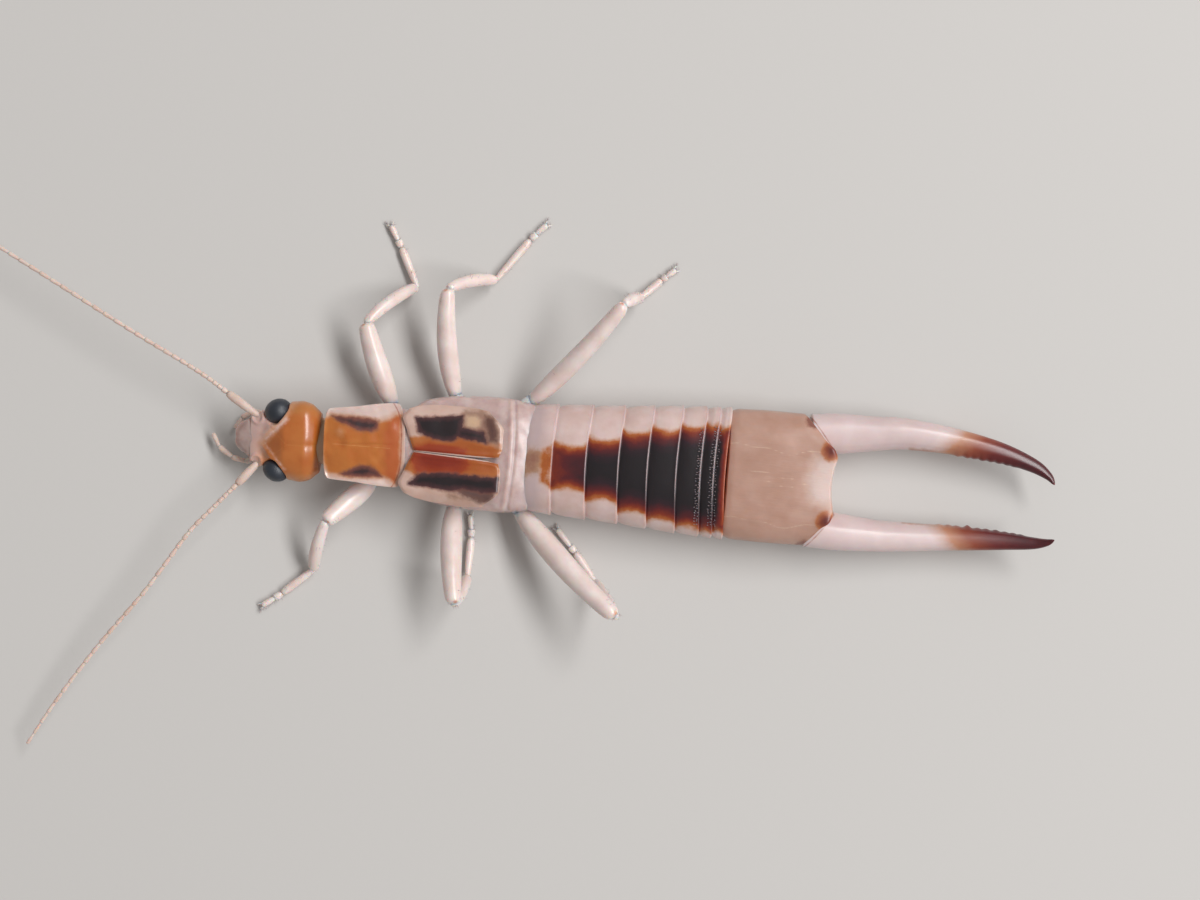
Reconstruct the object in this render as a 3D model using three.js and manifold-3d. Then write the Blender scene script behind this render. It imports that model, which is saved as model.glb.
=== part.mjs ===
// A male shore earwig, life size, standing at rest on the floor. Millimetres, +Z up.
// The head points to -X and the tail forceps to +X, so the animal's right side is at +Y.
// Lengths along the body are counted from the tip of the upper lip. At the end the whole animal is moved
// so that the origin lies under the middle of its bounding box, on the floor.
import * as THREE from 'three';
import { mergeVertices } from 'three/addons/utils/BufferGeometryUtils.js';
import Module from 'manifold-3d';

const wasm = await Module();
wasm.setup();

// Driving dimensions

const gap = 0.3; // between pieces that meet
const thinnest = 0.5; // of a feeler, foot or wing case
const sides = { left: -1, right: 1 };

const headStart = 0.75;
const headEnd = 3.6;
const headRoll = THREE.MathUtils.degToRad(12); // the right eye is turned up a little
const headShift = -0.1; // towards the left side
const headAxisHeight = 1.75;

const pronotumStart = 3.95;
const pronotumEnd = 7.2;
const caseStart = pronotumEnd + gap;
const caseEnd = 11.3;
const thoraxStart = 7.5;
const thoraxEnd = 11.9;
const backHeight = 3.0; // top of the wing cases

const tergiteEdges = [12.15, 13.5, 14.95, 16.3, 17.5, 18.7, 19.7, 20.25, 20.7];
const tergiteStep = 0.07; // how far the rear rim of each ring stands over the next ring
const lastSegmentEnd = 25.3;

// Curves through few points

// A smooth function through [position, value] pairs that never swings past its points.
function smoothly(points) {
  const n = points.length;
  const slopes = points.slice(1).map(([x, y], i) => (y - points[i][1]) / (x - points[i][0]));
  const tangents = points.map((_, i) => {
    if (i === 0) return slopes[0];
    if (i === n - 1) return slopes[n - 2];
    const [a, b] = [slopes[i - 1], slopes[i]];
    return a * b <= 0 ? 0 : (2 * a * b) / (a + b);
  });
  return (x) => {
    if (x <= points[0][0]) return points[0][1];
    if (x >= points[n - 1][0]) return points[n - 1][1];
    const i = points.findIndex(([end], k) => k > 0 && x <= end) - 1;
    const width = points[i + 1][0] - points[i][0];
    const t = (x - points[i][0]) / width;
    const rise = t * t * (3 - 2 * t);
    return (
      points[i][1] * (1 - rise) +
      points[i + 1][1] * rise +
      width * t * (1 - t) * (tangents[i] * (1 - t) - tangents[i + 1] * t)
    );
  };
}

function powered(value, exponent) {
  return Math.sign(value) * Math.abs(value) ** exponent;
}

function route(points) {
  return new THREE.CatmullRomCurve3(points.map((p) => new THREE.Vector3(...p)));
}

// Closed bodies

// Leaves only positions, joins equal vertices and turns the faces outwards.
function closed(geometry) {
  geometry.deleteAttribute('normal');
  geometry.deleteAttribute('uv');
  const merged = mergeVertices(geometry, 1e-4);
  const position = merged.getAttribute('position');
  const index = merged.index.array;
  const [a, b, c] = [new THREE.Vector3(), new THREE.Vector3(), new THREE.Vector3()];
  const kept = [];
  let volume = 0;
  for (let i = 0; i < index.length; i += 3) {
    const [p, q, r] = index.subarray(i, i + 3);
    if (p === q || q === r || r === p) continue;
    a.fromBufferAttribute(position, p);
    b.fromBufferAttribute(position, q);
    c.fromBufferAttribute(position, r);
    volume += a.dot(b.cross(c));
    kept.push([p, q, r]);
  }
  merged.setIndex(kept.flatMap(([p, q, r]) => (volume < 0 ? [p, r, q] : [p, q, r])));
  merged.computeVertexNormals();
  return merged;
}

// A closed cylinder with each vertex moved to place(row, angle, reach); reach is 0 at the middle of an end.
function reshaped(around, rows, place) {
  const tube = new THREE.CylinderGeometry(1, 1, 1, around, rows - 1);
  const position = tube.getAttribute('position');
  for (let i = 0; i < position.count; i += 1) {
    const [x, y, z] = [position.getX(i), position.getY(i), position.getZ(i)];
    const row = Math.round((y + 0.5) * (rows - 1));
    const moved = place(row, Math.atan2(z, x), Math.hypot(x, z));
    position.setXYZ(i, moved.x, moved.y, moved.z);
  }
  return closed(tube);
}

// A body along X. shape(x) gives half (width), top, bottom, middle (height of the widest line) and full,
// which is 1 for an ellipse and less for a squarer section.
function alongBody(stations, around, shape) {
  return reshaped(around, stations.length, (row, angle, reach) => {
    const x = stations[row];
    const { half, top, bottom, middle, full } = shape(x);
    const across = half * powered(Math.cos(angle), full) * reach;
    const rise = Math.sin(angle) > 0 ? top - middle : middle - bottom;
    const height = middle + rise * powered(Math.sin(angle), full) * reach;
    return new THREE.Vector3(x, across, Math.max(height, 0));
  });
}

// A tube that follows a curve. section(t) gives its half width and half height, and roll turns them.
function alongCurve(curve, rows, around, section, roll = 0) {
  return reshaped(around, rows, (row, angle, reach) => {
    const t = row / (rows - 1);
    const tangent = curve.getTangentAt(t);
    const across = new THREE.Vector3(0, 0, 1).cross(tangent).normalize();
    const lift = tangent.clone().cross(across);
    across.applyAxisAngle(tangent, roll);
    lift.applyAxisAngle(tangent, roll);
    const [wide, high] = section(t);
    const spot = curve
      .getPointAt(t)
      .addScaledVector(across, wide * Math.cos(angle) * reach)
      .addScaledVector(lift, high * Math.sin(angle) * reach);
    spot.z = Math.max(spot.z, 0);
    return spot;
  });
}

function spread(from, to, count) {
  return Array.from({ length: count }, (_, i) => from + ((to - from) * i) / (count - 1));
}

function solidOf(geometry) {
  return new wasm.Manifold(
    new wasm.Mesh({
      numProp: 3,
      vertProperties: geometry.getAttribute('position').array,
      triVerts: new Uint32Array(geometry.index.array),
    }),
  );
}

// Cuts leave slivers of faces along their edges, and those thinner than this are merged into their neighbours.
const sliver = 0.005;

// The largest closed surface of a solid, as a geometry.
function geometryOf(solid) {
  const parts = solid.decompose().sort((a, b) => b.volume() - a.volume());
  const mesh = parts[0].simplify(sliver).getMesh();
  const geometry = new THREE.BufferGeometry();
  geometry.setAttribute('position', new THREE.BufferAttribute(mesh.vertProperties, 3));
  geometry.setIndex(new THREE.BufferAttribute(mesh.triVerts, 1));
  geometry.computeVertexNormals();
  return geometry;
}

function joined(geometries) {
  return geometryOf(geometries.map(solidOf).reduce((whole, piece) => whole.add(piece)));
}

function ellipsoid([x, y, z], [rx, ry, rz], around, rows, turn = 0) {
  return closed(
    new THREE.SphereGeometry(1, around, rows)
      .scale(rx, ry, rz)
      .rotateZ(turn)
      .translate(x, y, z),
  );
}

// Materials

function finish(color, roughness) {
  return new THREE.MeshStandardMaterial({ color, roughness, metalness: 0 });
}

const finishes = {
  head: finish('#b8672c', 0.3),
  eye: finish('#23242c', 0.25),
  pale: finish('#dfcfc2', 0.35),
  pronotum: finish('#c07a3c', 0.35),
  wingCase: finish('#8a3f1c', 0.35),
  abdomen: finish('#5a2a22', 0.35),
  tail: finish('#bd9c8a', 0.35),
  pincer: finish('#cdb4ad', 0.3),
};

const earwig = new THREE.Group();
const headGroup = new THREE.Group();
earwig.add(headGroup);

function addNode(name, geometry, material, parent = earwig) {
  const mesh = new THREE.Mesh(geometry, material);
  mesh.name = name;
  parent.add(mesh);
  return mesh;
}

// Head, which tapers to the front and is widest behind the eyes

const headHalf = smoothly([
  [headStart, 0.5],
  [1.2, 0.92],
  [1.9, 1.28],
  [2.75, 1.68],
  [3.3, 1.45],
  [headEnd, 1.0],
]);
const headTop = smoothly([
  [headStart, 1.75],
  [1.3, 2.25],
  [2.4, 2.68],
  [3.2, 2.58],
  [headEnd, 2.3],
]);
const headBottom = smoothly([
  [headStart, 1.25],
  [1.5, 0.95],
  [2.6, 0.88],
  [headEnd, 1.2],
]);

const headShape = (x) => ({
  half: headHalf(x),
  top: headTop(x),
  bottom: headBottom(x),
  middle: 1.75,
  full: 0.85,
});
const headStations = [
  headStart,
  ...spread(headStart + 0.12, headEnd - 0.12, 12),
  headEnd,
];
const capsule = alongBody(headStations, 26, headShape);

const eyeSpot = [1.92, 1.34, 1.86];
const eyeSize = [0.62, 0.42, 0.6];
const eyeTurn = THREE.MathUtils.degToRad(28);

// Jaws that curve in to meet under the upper lip, sunk into the head at their roots.
function jaw(side) {
  const path = route([
    [1.3, side * 0.5, 1.12],
    [0.7, side * 0.52, 0.96],
    [0.3, side * 0.36, 0.88],
  ]);
  return alongCurve(path, 5, 8, (t) => [0.27 - 0.1 * t, 0.25 - 0.12 * t]);
}

const headWithJaws = [capsule, jaw(sides.left), jaw(sides.right)]
  .map(solidOf)
  .reduce((whole, piece) => whole.add(piece));

// Each eye sits in a socket of the head, with the gap all round.
const sockets = Object.values(sides).map((side) =>
  solidOf(
    ellipsoid(
      [eyeSpot[0], side * eyeSpot[1], eyeSpot[2]],
      eyeSize.map((size) => size + gap),
      12,
      8,
      side * eyeTurn,
    ),
  ),
);
const headSolid = sockets.reduce((whole, socket) => whole.subtract(socket), headWithJaws);
addNode('head', geometryOf(headSolid), finishes.head, headGroup);

for (const [name, side] of Object.entries(sides)) {
  const ball = ellipsoid([eyeSpot[0], side * eyeSpot[1], eyeSpot[2]], eyeSize, 16, 10, side * eyeTurn);
  addNode(`eye_${name}`, ball, finishes.eye, headGroup);
}

const lipShape = (x) => ({
  half: smoothly([[0, 0.3], [0.2, 0.46], [headStart - gap, 0.5]])(x),
  top: 1.92,
  bottom: 1.42,
  middle: 1.67,
  full: 0.8,
});
addNode('labrum', alongBody([0, 0.12, 0.3, headStart - gap], 14, lipShape), finishes.tail, headGroup);

headGroup.position.set(0, headShift, headAxisHeight);
headGroup.rotation.x = headRoll;
headGroup.children.forEach((piece) => piece.geometry.translate(0, 0, -headAxisHeight));

// Palps: the left one reaches forward past the lip, the right one is tucked in below it.

const palps = {
  left: [[1.0, -0.72, 0.27], [0.45, -1.2, 0.55], [-0.25, -0.95, 0.65], [-0.85, -0.62, 0.65], [-1.2, -0.05, 0.5]],
  right: [[1.1, 0.75, 0.42], [0.5, 1.0, 0.42], [-0.05, 0.72, 0.45], [-0.3, 0.2, 0.4]],
};
for (const [name, points] of Object.entries(palps)) {
  const thickness = (t) => (thinnest / 2) * (t > 0.85 ? 0.55 : 1);
  const palp = alongCurve(route(points), 9, 8, (t) => [thickness(t), thickness(t)]);
  addNode(`palp_${name}`, palp, finishes.pale);
}

// Feelers: a stout first joint and a whip of many small joints

const feelers = {
  left: {
    scape: [[0.93, -1.24, 1.5], [0.62, -1.62, 1.55], [0.25, -2.08, 1.6]],
    whip: [
      [0.06, -2.32, 1.61], [-0.8, -3.3, 1.62], [-1.7, -4.4, 1.6], [-3.3, -6.9, 1.45], [-5.15, -9.4, 1.25],
      [-6.8, -11.9, 1.05], [-7.9, -13.8, 0.9],
    ],
  },
  right: {
    scape: [[0.8, 0.98, 1.95], [0.25, 1.35, 1.97], [-0.35, 1.68, 1.95]],
    whip: [
      [-0.6, 1.85, 1.95], [-1.7, 2.5, 1.98], [-4.3, 3.81, 2.05], [-7.9, 5.7, 1.95], [-10.6, 7.1, 1.75],
      [-12.8, 8.3, 1.5],
    ],
  },
};
const whipJoints = 26;
// Each joint swells a little towards its far end, and the last ones taper to the tip.
function whipRadius(row, rows) {
  const taper = smoothly([[0, 1], [0.8, 1], [0.93, 0.75], [1, 0.45]])(row / (rows - 1));
  return (thinnest / 2) * taper * (row % 2 ? 1.08 : 0.92);
}
for (const [name, { scape, whip }] of Object.entries(feelers)) {
  const first = smoothly([[0, 0.2], [0.25, 0.27], [0.8, 0.28], [1, 0.22]]);
  const scapeBody = alongCurve(route(scape), 7, 10, (t) => [first(t), first(t)]);
  addNode(`antenna_${name}_scape`, scapeBody, finishes.pale);
  const rows = whipJoints * 2 + 1;
  const whipBody = alongCurve(route(whip), rows, 7, (t) => {
    const radius = whipRadius(Math.round(t * (rows - 1)), rows);
    return [radius, radius];
  });
  addNode(`antenna_${name}_flagellum`, whipBody, finishes.pale);
}

// Neck and front of the thorax, both below the shield

const frontShape = (x) => ({
  half: smoothly([[4.75, 1.0], [5.2, 1.25], [6.3, 1.4], [pronotumEnd, 1.3]])(x),
  top: 2.15,
  bottom: 1.05,
  middle: 1.65,
  full: 0.9,
});
const neckShape = (x) => ({
  half: smoothly([[headEnd + gap, 0.85], [4.2, 0.95], [4.75 - gap, 0.9]])(x),
  top: 2.12,
  bottom: 1.2,
  middle: 1.7,
  full: 0.85,
});
addNode('neck', alongBody(spread(headEnd + gap, 4.75 - gap, 4), 16, neckShape), finishes.head);
const prothorax = alongBody(spread(4.75, pronotumEnd, 7), 18, frontShape);
addNode('prothorax', prothorax, finishes.pale);

// A thin plate that arches over the back. edge(x) gives its inner and outer side, under(x, y) its underside.
function backPlate(stations, around, edge, under, thickness) {
  return reshaped(around, stations.length, (row, angle, reach) => {
    const x = stations[row];
    const [inner, outer] = edge(x);
    const middle = (inner + outer) / 2;
    const across = middle + (outer - inner) * 0.5 * powered(Math.cos(angle), 0.6) * reach;
    const rim = thickness(x) * 0.5 * (1 + powered(Math.sin(angle), 0.5) * reach);
    return new THREE.Vector3(x, across, under(x, across) + rim);
  });
}

// Shield over the front of the thorax, a little wider behind, with thin side margins

const shieldHalf = smoothly([
  [pronotumStart, 1.2],
  [4.2, 1.36],
  [5.5, 1.6],
  [6.5, 1.74],
  [pronotumEnd, 1.45],
]);
const shieldUnder = (x, y) => 2.5 - 0.09 * y ** 2 - 0.04 * Math.abs(x - 5.5);
const shield = backPlate(
  [pronotumStart, ...spread(pronotumStart + 0.1, pronotumEnd - 0.15, 7), pronotumEnd],
  24,
  (x) => [-shieldHalf(x), shieldHalf(x)],
  shieldUnder,
  (x) => (x > pronotumStart && x < pronotumEnd ? thinnest : thinnest * 0.6),
);
addNode('pronotum', shield, finishes.pronotum);

// Rear part of the thorax, low under the wing cases and up to the back again behind them

const thoraxShape = (x) => ({
  half: smoothly([[thoraxStart, 1.7], [8.0, 2.05], [10.5, 2.4], [thoraxEnd, 2.3]])(x),
  top: smoothly([[thoraxStart, 2.1], [caseEnd, 2.12], [caseEnd + gap, 2.4], [thoraxEnd, 2.65]])(x),
  bottom: 1.05,
  middle: 1.6,
  full: 0.9,
});
const thoraxStations = [...spread(thoraxStart, caseEnd, 9), caseEnd + gap, thoraxEnd];
addNode('thorax', alongBody(thoraxStations, 22, thoraxShape), finishes.pale);

// Wing cases, which meet along the middle of the back

const caseOuter = smoothly([
  [caseStart, 1.3],
  [7.6, 1.78],
  [9.0, 1.95],
  [10.8, 2.12],
  [caseEnd, 1.75],
]);
const caseInner = smoothly([
  [caseStart, 0.6],
  [7.6, gap / 2],
  [10.7, gap / 2],
  [caseEnd, 0.45],
]);
const caseUnder = (x, y) => backHeight - thinnest - 0.07 * y ** 2;
for (const [name, side] of Object.entries(sides)) {
  const plate = backPlate(
    [caseStart, ...spread(caseStart + 0.12, caseEnd - 0.12, 9), caseEnd],
    20,
    (x) => [side * caseInner(x), side * caseOuter(x)].sort((a, b) => a - b),
    caseUnder,
    (x) => (x > caseStart && x < caseEnd ? thinnest : thinnest * 0.7),
  );
  addNode(`elytron_${name}`, plate, finishes.wingCase);
}

// Abdomen: rings whose rear rims stand over the next ring

const abdomenHalf = smoothly([
  [12.15, 2.2],
  [13.5, 2.3],
  [16.3, 2.48],
  [18.7, 2.67],
  [20.7, 2.76],
]);
const abdomenTop = smoothly([[12.15, 2.55], [14.0, 2.8], [17.5, 2.95], [20.7, 2.85]]);
const abdomenBottom = smoothly([[12.15, 1.2], [13.2, 0.95], [14.5, 0.4], [16.0, -0.06], [20.0, -0.06], [20.7, 0.05]]);
// Rows of one ring: its front, its middle and its rear rim, with how far each stands out.
const ringRows = tergiteEdges.slice(1).flatMap((rear, i) => {
  const front = tergiteEdges[i];
  return [
    { x: front + 0.03, out: -tergiteStep },
    { x: (front + rear) / 2, out: 0 },
    { x: rear - 0.03, out: tergiteStep / 2 },
  ];
});
const abdomen = alongBody(
  ringRows.map(({ x }) => x),
  28,
  (x) => {
    const { out } = ringRows.find((row) => row.x === x);
    return {
      half: abdomenHalf(x) + out,
      top: abdomenTop(x) + out,
      bottom: abdomenBottom(x) - out / 2,
      middle: 1.35,
      full: 0.78,
    };
  },
);
addNode('abdomen', abdomen, finishes.abdomen);

// Last segment: a broad box whose rear corners are cut back for the forceps

const lastStart = tergiteEdges.at(-1) - 0.03 + gap;
const cornerStart = 1.15;
const cornerSlope = 0.62;
const rearEdge = (y) => lastSegmentEnd - cornerSlope * Math.max(0, Math.abs(y) - cornerStart);
const lastHalf = smoothly([[lastStart, 2.72], [23.2, 2.78], [lastSegmentEnd, 2.76]]);
const lastTop = smoothly([[lastStart, 2.78], [22.5, 2.85], [lastSegmentEnd, 2.3]]);
const lastBottom = smoothly([[lastStart, 0.1], [22.5, 0.1], [lastSegmentEnd, 0.55]]);
const lastRows = 11;
const lastBox = reshaped(30, lastRows, (row, angle, reach) => {
  const t = row / (lastRows - 1);
  const x = lastStart + (lastSegmentEnd - lastStart) * t;
  const middle = 1.4;
  const rim = row === 0 || row === lastRows - 1 ? 0.95 : 1;
  const across = lastHalf(x) * powered(Math.cos(angle), 0.7) * reach * rim;
  const rise = Math.sin(angle) > 0 ? lastTop(x) - middle : middle - lastBottom(x);
  const height = middle + rise * powered(Math.sin(angle), 0.7) * reach * rim;
  return new THREE.Vector3(lastStart + (rearEdge(across) - lastStart) * t, across, height);
});
// A knob on each side, at the inner corner of the pincer's root.
const knobs = Object.values(sides).map((side) =>
  ellipsoid([lastSegmentEnd - 0.35, side * 1.2, 2.1], [0.42, 0.34, 0.32], 10, 6),
);
addNode('last_segment', joined([lastBox, ...knobs]), finishes.tail);

// Forceps: stout at the root, with small teeth on the inner edge and a hooked point

const pincerWidth = smoothly([[0, 0.86], [0.15, 0.74], [0.35, 0.64], [0.6, 0.52], [0.8, 0.4], [0.93, 0.22], [1, 0.06]]);
const pincerHeight = smoothly([[0, 0.72], [0.15, 0.66], [0.5, 0.5], [0.8, 0.34], [0.93, 0.22], [1, 0.06]]);
const pincers = {
  right: {
    path: [
      [24.98, 2.08, 1.35], [26.6, 2.2, 1.3], [28.0, 2.25, 1.3], [30.0, 2.12, 1.3], [32.1, 1.8, 1.35],
      [33.5, 1.38, 1.4], [34.2, 0.98, 1.45], [34.5, 0.62, 1.5],
    ],
    roll: 0,
  },
  left: {
    path: [
      [24.98, -2.08, 1.35], [26.9, -2.1, 1.25], [28.4, -2.08, 1.2], [30.3, -1.98, 1.2], [32.4, -1.92, 1.35],
      [33.7, -1.9, 1.6], [34.25, -1.82, 1.85], [34.5, -1.68, 2.1],
    ],
    roll: THREE.MathUtils.degToRad(-35),
  },
};
const toothPlaces = [0.56, 0.62, 0.67, 0.72, 0.77, 0.81, 0.85];
const toothSizes = [0.14, 0.22, 0.18, 0.26, 0.2, 0.22, 0.16];

function tooth(curve, t, size, side, roll) {
  const tangent = curve.getTangentAt(t);
  const inward = new THREE.Vector3(0, 0, 1).cross(tangent).normalize().multiplyScalar(-side);
  inward.applyAxisAngle(tangent, roll);
  const cone = new THREE.ConeGeometry(0.22, size + 0.3, 6);
  const turn = new THREE.Quaternion().setFromUnitVectors(new THREE.Vector3(0, 1, 0), inward);
  const spot = curve.getPointAt(t).addScaledVector(inward, pincerWidth(t) - 0.15 + size / 2 - 0.05);
  return closed(cone.applyQuaternion(turn).translate(spot.x, spot.y, spot.z));
}

for (const [name, { path, roll }] of Object.entries(pincers)) {
  const curve = route(path);
  const arm = solidOf(alongCurve(curve, 24, 14, (t) => [pincerWidth(t), pincerHeight(t)], roll));
  const teeth = toothPlaces.map((t, i) => solidOf(tooth(curve, t, toothSizes[i], sides[name], roll)));
  const whole = teeth.reduce((body, piece) => body.add(piece), arm);
  // The root is cut along the slanted corner of the last segment, with the gap between them.
  const side = sides[name];
  const cornerAngle = Math.atan(cornerSlope);
  const cutDistance = (gap - 0.02) / Math.cos(cornerAngle);
  const normal = new THREE.Vector3(1, side * cornerSlope, 0).normalize();
  const onCut = new THREE.Vector3(lastSegmentEnd + cutDistance, side * cornerStart, 0);
  const cut = whole.trimByPlane(normal.toArray(), onCut.dot(normal));
  addNode(`forceps_${name}`, geometryOf(cut), finishes.pincer);
}

// Legs: points on the middle line from the body to the knee and the ankle, then along the foot to the claws

const hipHeight = 0.45;
const rootHeight = 0.6;
const ankleHeight = 0.5;
const soleHeight = 0.22; // middle of the foot, a little less than its radius, which leaves a flat sole
const legs = {
  front_left: {
    hip: [6.15, -0.7], root: [5.85, -1.6], knee: [4.13, -3.34, 2.2], ankle: [3.53, -5.51],
    foot: [[3.4, -5.65], [2.22, -6.67], [1.24, -7.37]], stout: 0.46,
  },
  front_right: {
    hip: [6.3, 0.75], root: [6.4, 1.75], knee: [5.16, 5.07, 2.2], ankle: [6.96, 6.88],
    foot: [[6.9, 7.05], [6.14, 8.53], [5.52, 9.61]], stout: 0.47,
  },
  mid_left: {
    hip: [9.2, -1.05], root: [9.32, -2.1], knee: [9.82, -6.25, 3.1], ankle: [10.1, -5.3],
    foot: [[10.1, -5.1], [10.1, -3.7], [9.98, -2.4]], stout: 0.5,
  },
  mid_right: {
    hip: [9.1, 1.05], root: [9.1, 2.15], knee: [8.52, 6.73, 2.7], ankle: [10.3, 7.44],
    foot: [[10.42, 7.6], [11.64, 9.31], [12.44, 10.14]], stout: 0.43,
  },
  hind_left: {
    hip: [11.0, -1.1], root: [11.85, -2.14], knee: [16.5, -6.22, 3.4], ankle: [15.55, -5.08],
    foot: [[15.42, -4.95], [14.5, -3.8], [13.5, -2.65]], stout: 0.5,
  },
  hind_right: {
    hip: [11.0, 1.1], root: [11.9, 2.1], knee: [15.87, 6.61, 3.4], ankle: [16.5, 7.15],
    foot: [[16.62, 7.28], [17.38, 8.02], [18.1, 8.64]], stout: 0.41,
  },
};

// A limb piece turned on a lathe from one place to another, with round ends. flat thins it across.
function limb(from, to, widths, flat = 1, extra = 0) {
  const [start, end] = [new THREE.Vector3(...from), new THREE.Vector3(...to)];
  const direction = end.clone().sub(start).normalize();
  start.addScaledVector(direction, -extra);
  end.addScaledVector(direction, extra);
  const length = start.distanceTo(end);
  const radius = smoothly(widths);
  const inside = [0.06, 0.25, 0.5, 0.75, 0.94];
  const profile = [
    new THREE.Vector2(0, 0),
    new THREE.Vector2(radius(0) * 0.75 + extra, 0.02 * length),
    ...inside.map((t) => new THREE.Vector2(radius(t) + extra, t * length)),
    new THREE.Vector2(radius(1) * 0.75 + extra, 0.98 * length),
    new THREE.Vector2(0, length),
  ];
  const turned = new THREE.LatheGeometry(profile, 12).scale(1, 1, flat);
  const across = new THREE.Vector3(0, 0, 1).cross(direction).normalize();
  const basis = new THREE.Matrix4().makeBasis(direction.clone().cross(across), direction, across);
  return closed(turned.applyMatrix4(basis.setPosition(start)));
}

const hipWidths = [[0, 0.28], [0.4, 0.32], [1, 0.26]];
const shinWidths = [[0, 0.25], [0.4, 0.28], [1, 0.25]];
const footWidth = smoothly([[0, 0.2], [0.1, 0.25], [0.8, 0.25], [1, 0.12]]);

for (const [name, leg] of Object.entries(legs)) {
  const hip = [...leg.hip, hipHeight];
  const root = [...leg.root, rootHeight];
  const ankle = [...leg.ankle, ankleHeight];
  const thighWidths = [[0, 0.26], [0.25, leg.stout * 0.95], [0.45, leg.stout], [0.85, leg.stout * 0.8], [1, 0.3]];
  const line = route(leg.foot.map(([x, y]) => [x, y, soleHeight]));
  // The thigh and the foot are hollowed at their ends, with the gap round their neighbours.
  const roomForHip = solidOf(limb(hip, root, hipWidths, 1, gap));
  const roomForShin = solidOf(limb(leg.knee, ankle, shinWidths, 1, gap));
  const thigh = solidOf(limb(root, leg.knee, thighWidths, 0.8)).subtract(roomForHip).subtract(roomForShin);
  const foot = solidOf(alongCurve(line, 10, 10, (t) => [footWidth(t), footWidth(t)])).subtract(roomForShin);
  addNode(`leg_${name}_coxa`, limb(hip, root, hipWidths), finishes.pale);
  addNode(`leg_${name}_femur`, geometryOf(thigh), finishes.pale);
  addNode(`leg_${name}_tibia`, limb(leg.knee, ankle, shinWidths), finishes.pale);
  addNode(`leg_${name}_tarsus`, geometryOf(foot), finishes.pale);
}

// Origin under the middle of the bounding box, on the floor

const box = new THREE.Box3().setFromObject(earwig, true);
const centre = box.getCenter(new THREE.Vector3());
earwig.position.set(-centre.x, -centre.y, -box.min.z);
earwig.updateMatrixWorld(true);

export default earwig;
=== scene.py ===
"""A male shore earwig, life size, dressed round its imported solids.

The animal stands still, seen from straight above. Lengths are millimetres in the animal's own frame: x counts
from the tip of the upper lip towards the forceps, y towards the animal's right side and z up from the floor.
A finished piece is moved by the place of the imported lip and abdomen, so that it lies in the shared frame.
"""

import logging
import math
import random
from collections.abc import Callable, Sequence
from dataclasses import dataclass, field
from enum import Enum

import bpy
from mathutils import Matrix, Quaternion, Vector, noise


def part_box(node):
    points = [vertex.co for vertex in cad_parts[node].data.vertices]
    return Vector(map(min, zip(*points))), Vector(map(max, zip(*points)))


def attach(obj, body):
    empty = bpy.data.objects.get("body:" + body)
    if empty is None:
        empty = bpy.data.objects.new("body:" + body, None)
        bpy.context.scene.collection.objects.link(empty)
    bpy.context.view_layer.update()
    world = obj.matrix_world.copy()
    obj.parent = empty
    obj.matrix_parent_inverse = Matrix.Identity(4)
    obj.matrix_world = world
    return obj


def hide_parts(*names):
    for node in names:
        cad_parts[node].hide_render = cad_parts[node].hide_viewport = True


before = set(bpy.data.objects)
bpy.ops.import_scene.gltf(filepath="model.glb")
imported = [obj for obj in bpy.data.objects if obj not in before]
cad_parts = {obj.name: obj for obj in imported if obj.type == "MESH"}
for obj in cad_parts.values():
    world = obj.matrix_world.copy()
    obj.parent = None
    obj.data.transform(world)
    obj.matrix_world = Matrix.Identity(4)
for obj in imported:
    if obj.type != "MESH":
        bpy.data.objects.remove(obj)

MM = 0.001
BODY = "root"
MERGE_DISTANCE = 0.0015 * MM
log = logging.getLogger("earwig")

Point = tuple[float, float, float]
Field = Callable[[Vector], float]
Curve = Callable[[float], float]


class Side(Enum):
    """The two sides of the animal, with the sign of y on each."""

    LEFT = -1
    RIGHT = 1

    @property
    def word(self) -> str:
        """The side's name as the nodes spell it."""
        return self.name.lower()


def smooth_curve(points: Sequence[tuple[float, float]]) -> Curve:
    """Makes a smooth function that passes through points and never swings past them.

    Args:
        points: (position, value) pairs with rising positions.

    Returns:
        A function of the position.
    """
    slopes = [(b[1] - a[1]) / (b[0] - a[0]) for a, b in zip(points, points[1:])]
    tangents = [slopes[0]]
    for before, after in zip(slopes, slopes[1:]):
        level = before * after <= 0
        tangents.append(0.0 if level else 2 * before * after / (before + after))
    tangents.append(slopes[-1])

    def value(x: float) -> float:
        """Value of the curve at x."""
        if x <= points[0][0]:
            return points[0][1]
        for i, (start, end) in enumerate(zip(points, points[1:])):
            if x <= end[0]:
                width = end[0] - start[0]
                t = (x - start[0]) / width
                rise = t * t * (3 - 2 * t)
                swing = t * (1 - t) * (tangents[i] * (1 - t) - tangents[i + 1] * t)
                return start[1] * (1 - rise) + end[1] * rise + width * swing
        return points[-1][1]

    return value


def curve(*points: tuple[float, float]) -> Curve:
    """Gives a class a size that follows a smooth curve through (position, value) points."""
    return field(default_factory=lambda: smooth_curve(points))


def ease(low: float, high: float, x: float) -> float:
    """Rises smoothly from 0 at low to 1 at high."""
    t = min(max((x - low) / (high - low), 0.0), 1.0)
    return t * t * (3 - 2 * t)


def mound(x: float, y: float, centre: tuple[float, float], reach: float) -> float:
    """A round hill, 1 at its centre and near 0 beyond twice its reach."""
    return math.exp(-((x - centre[0]) ** 2 + (y - centre[1]) ** 2) / (reach * reach))


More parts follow.
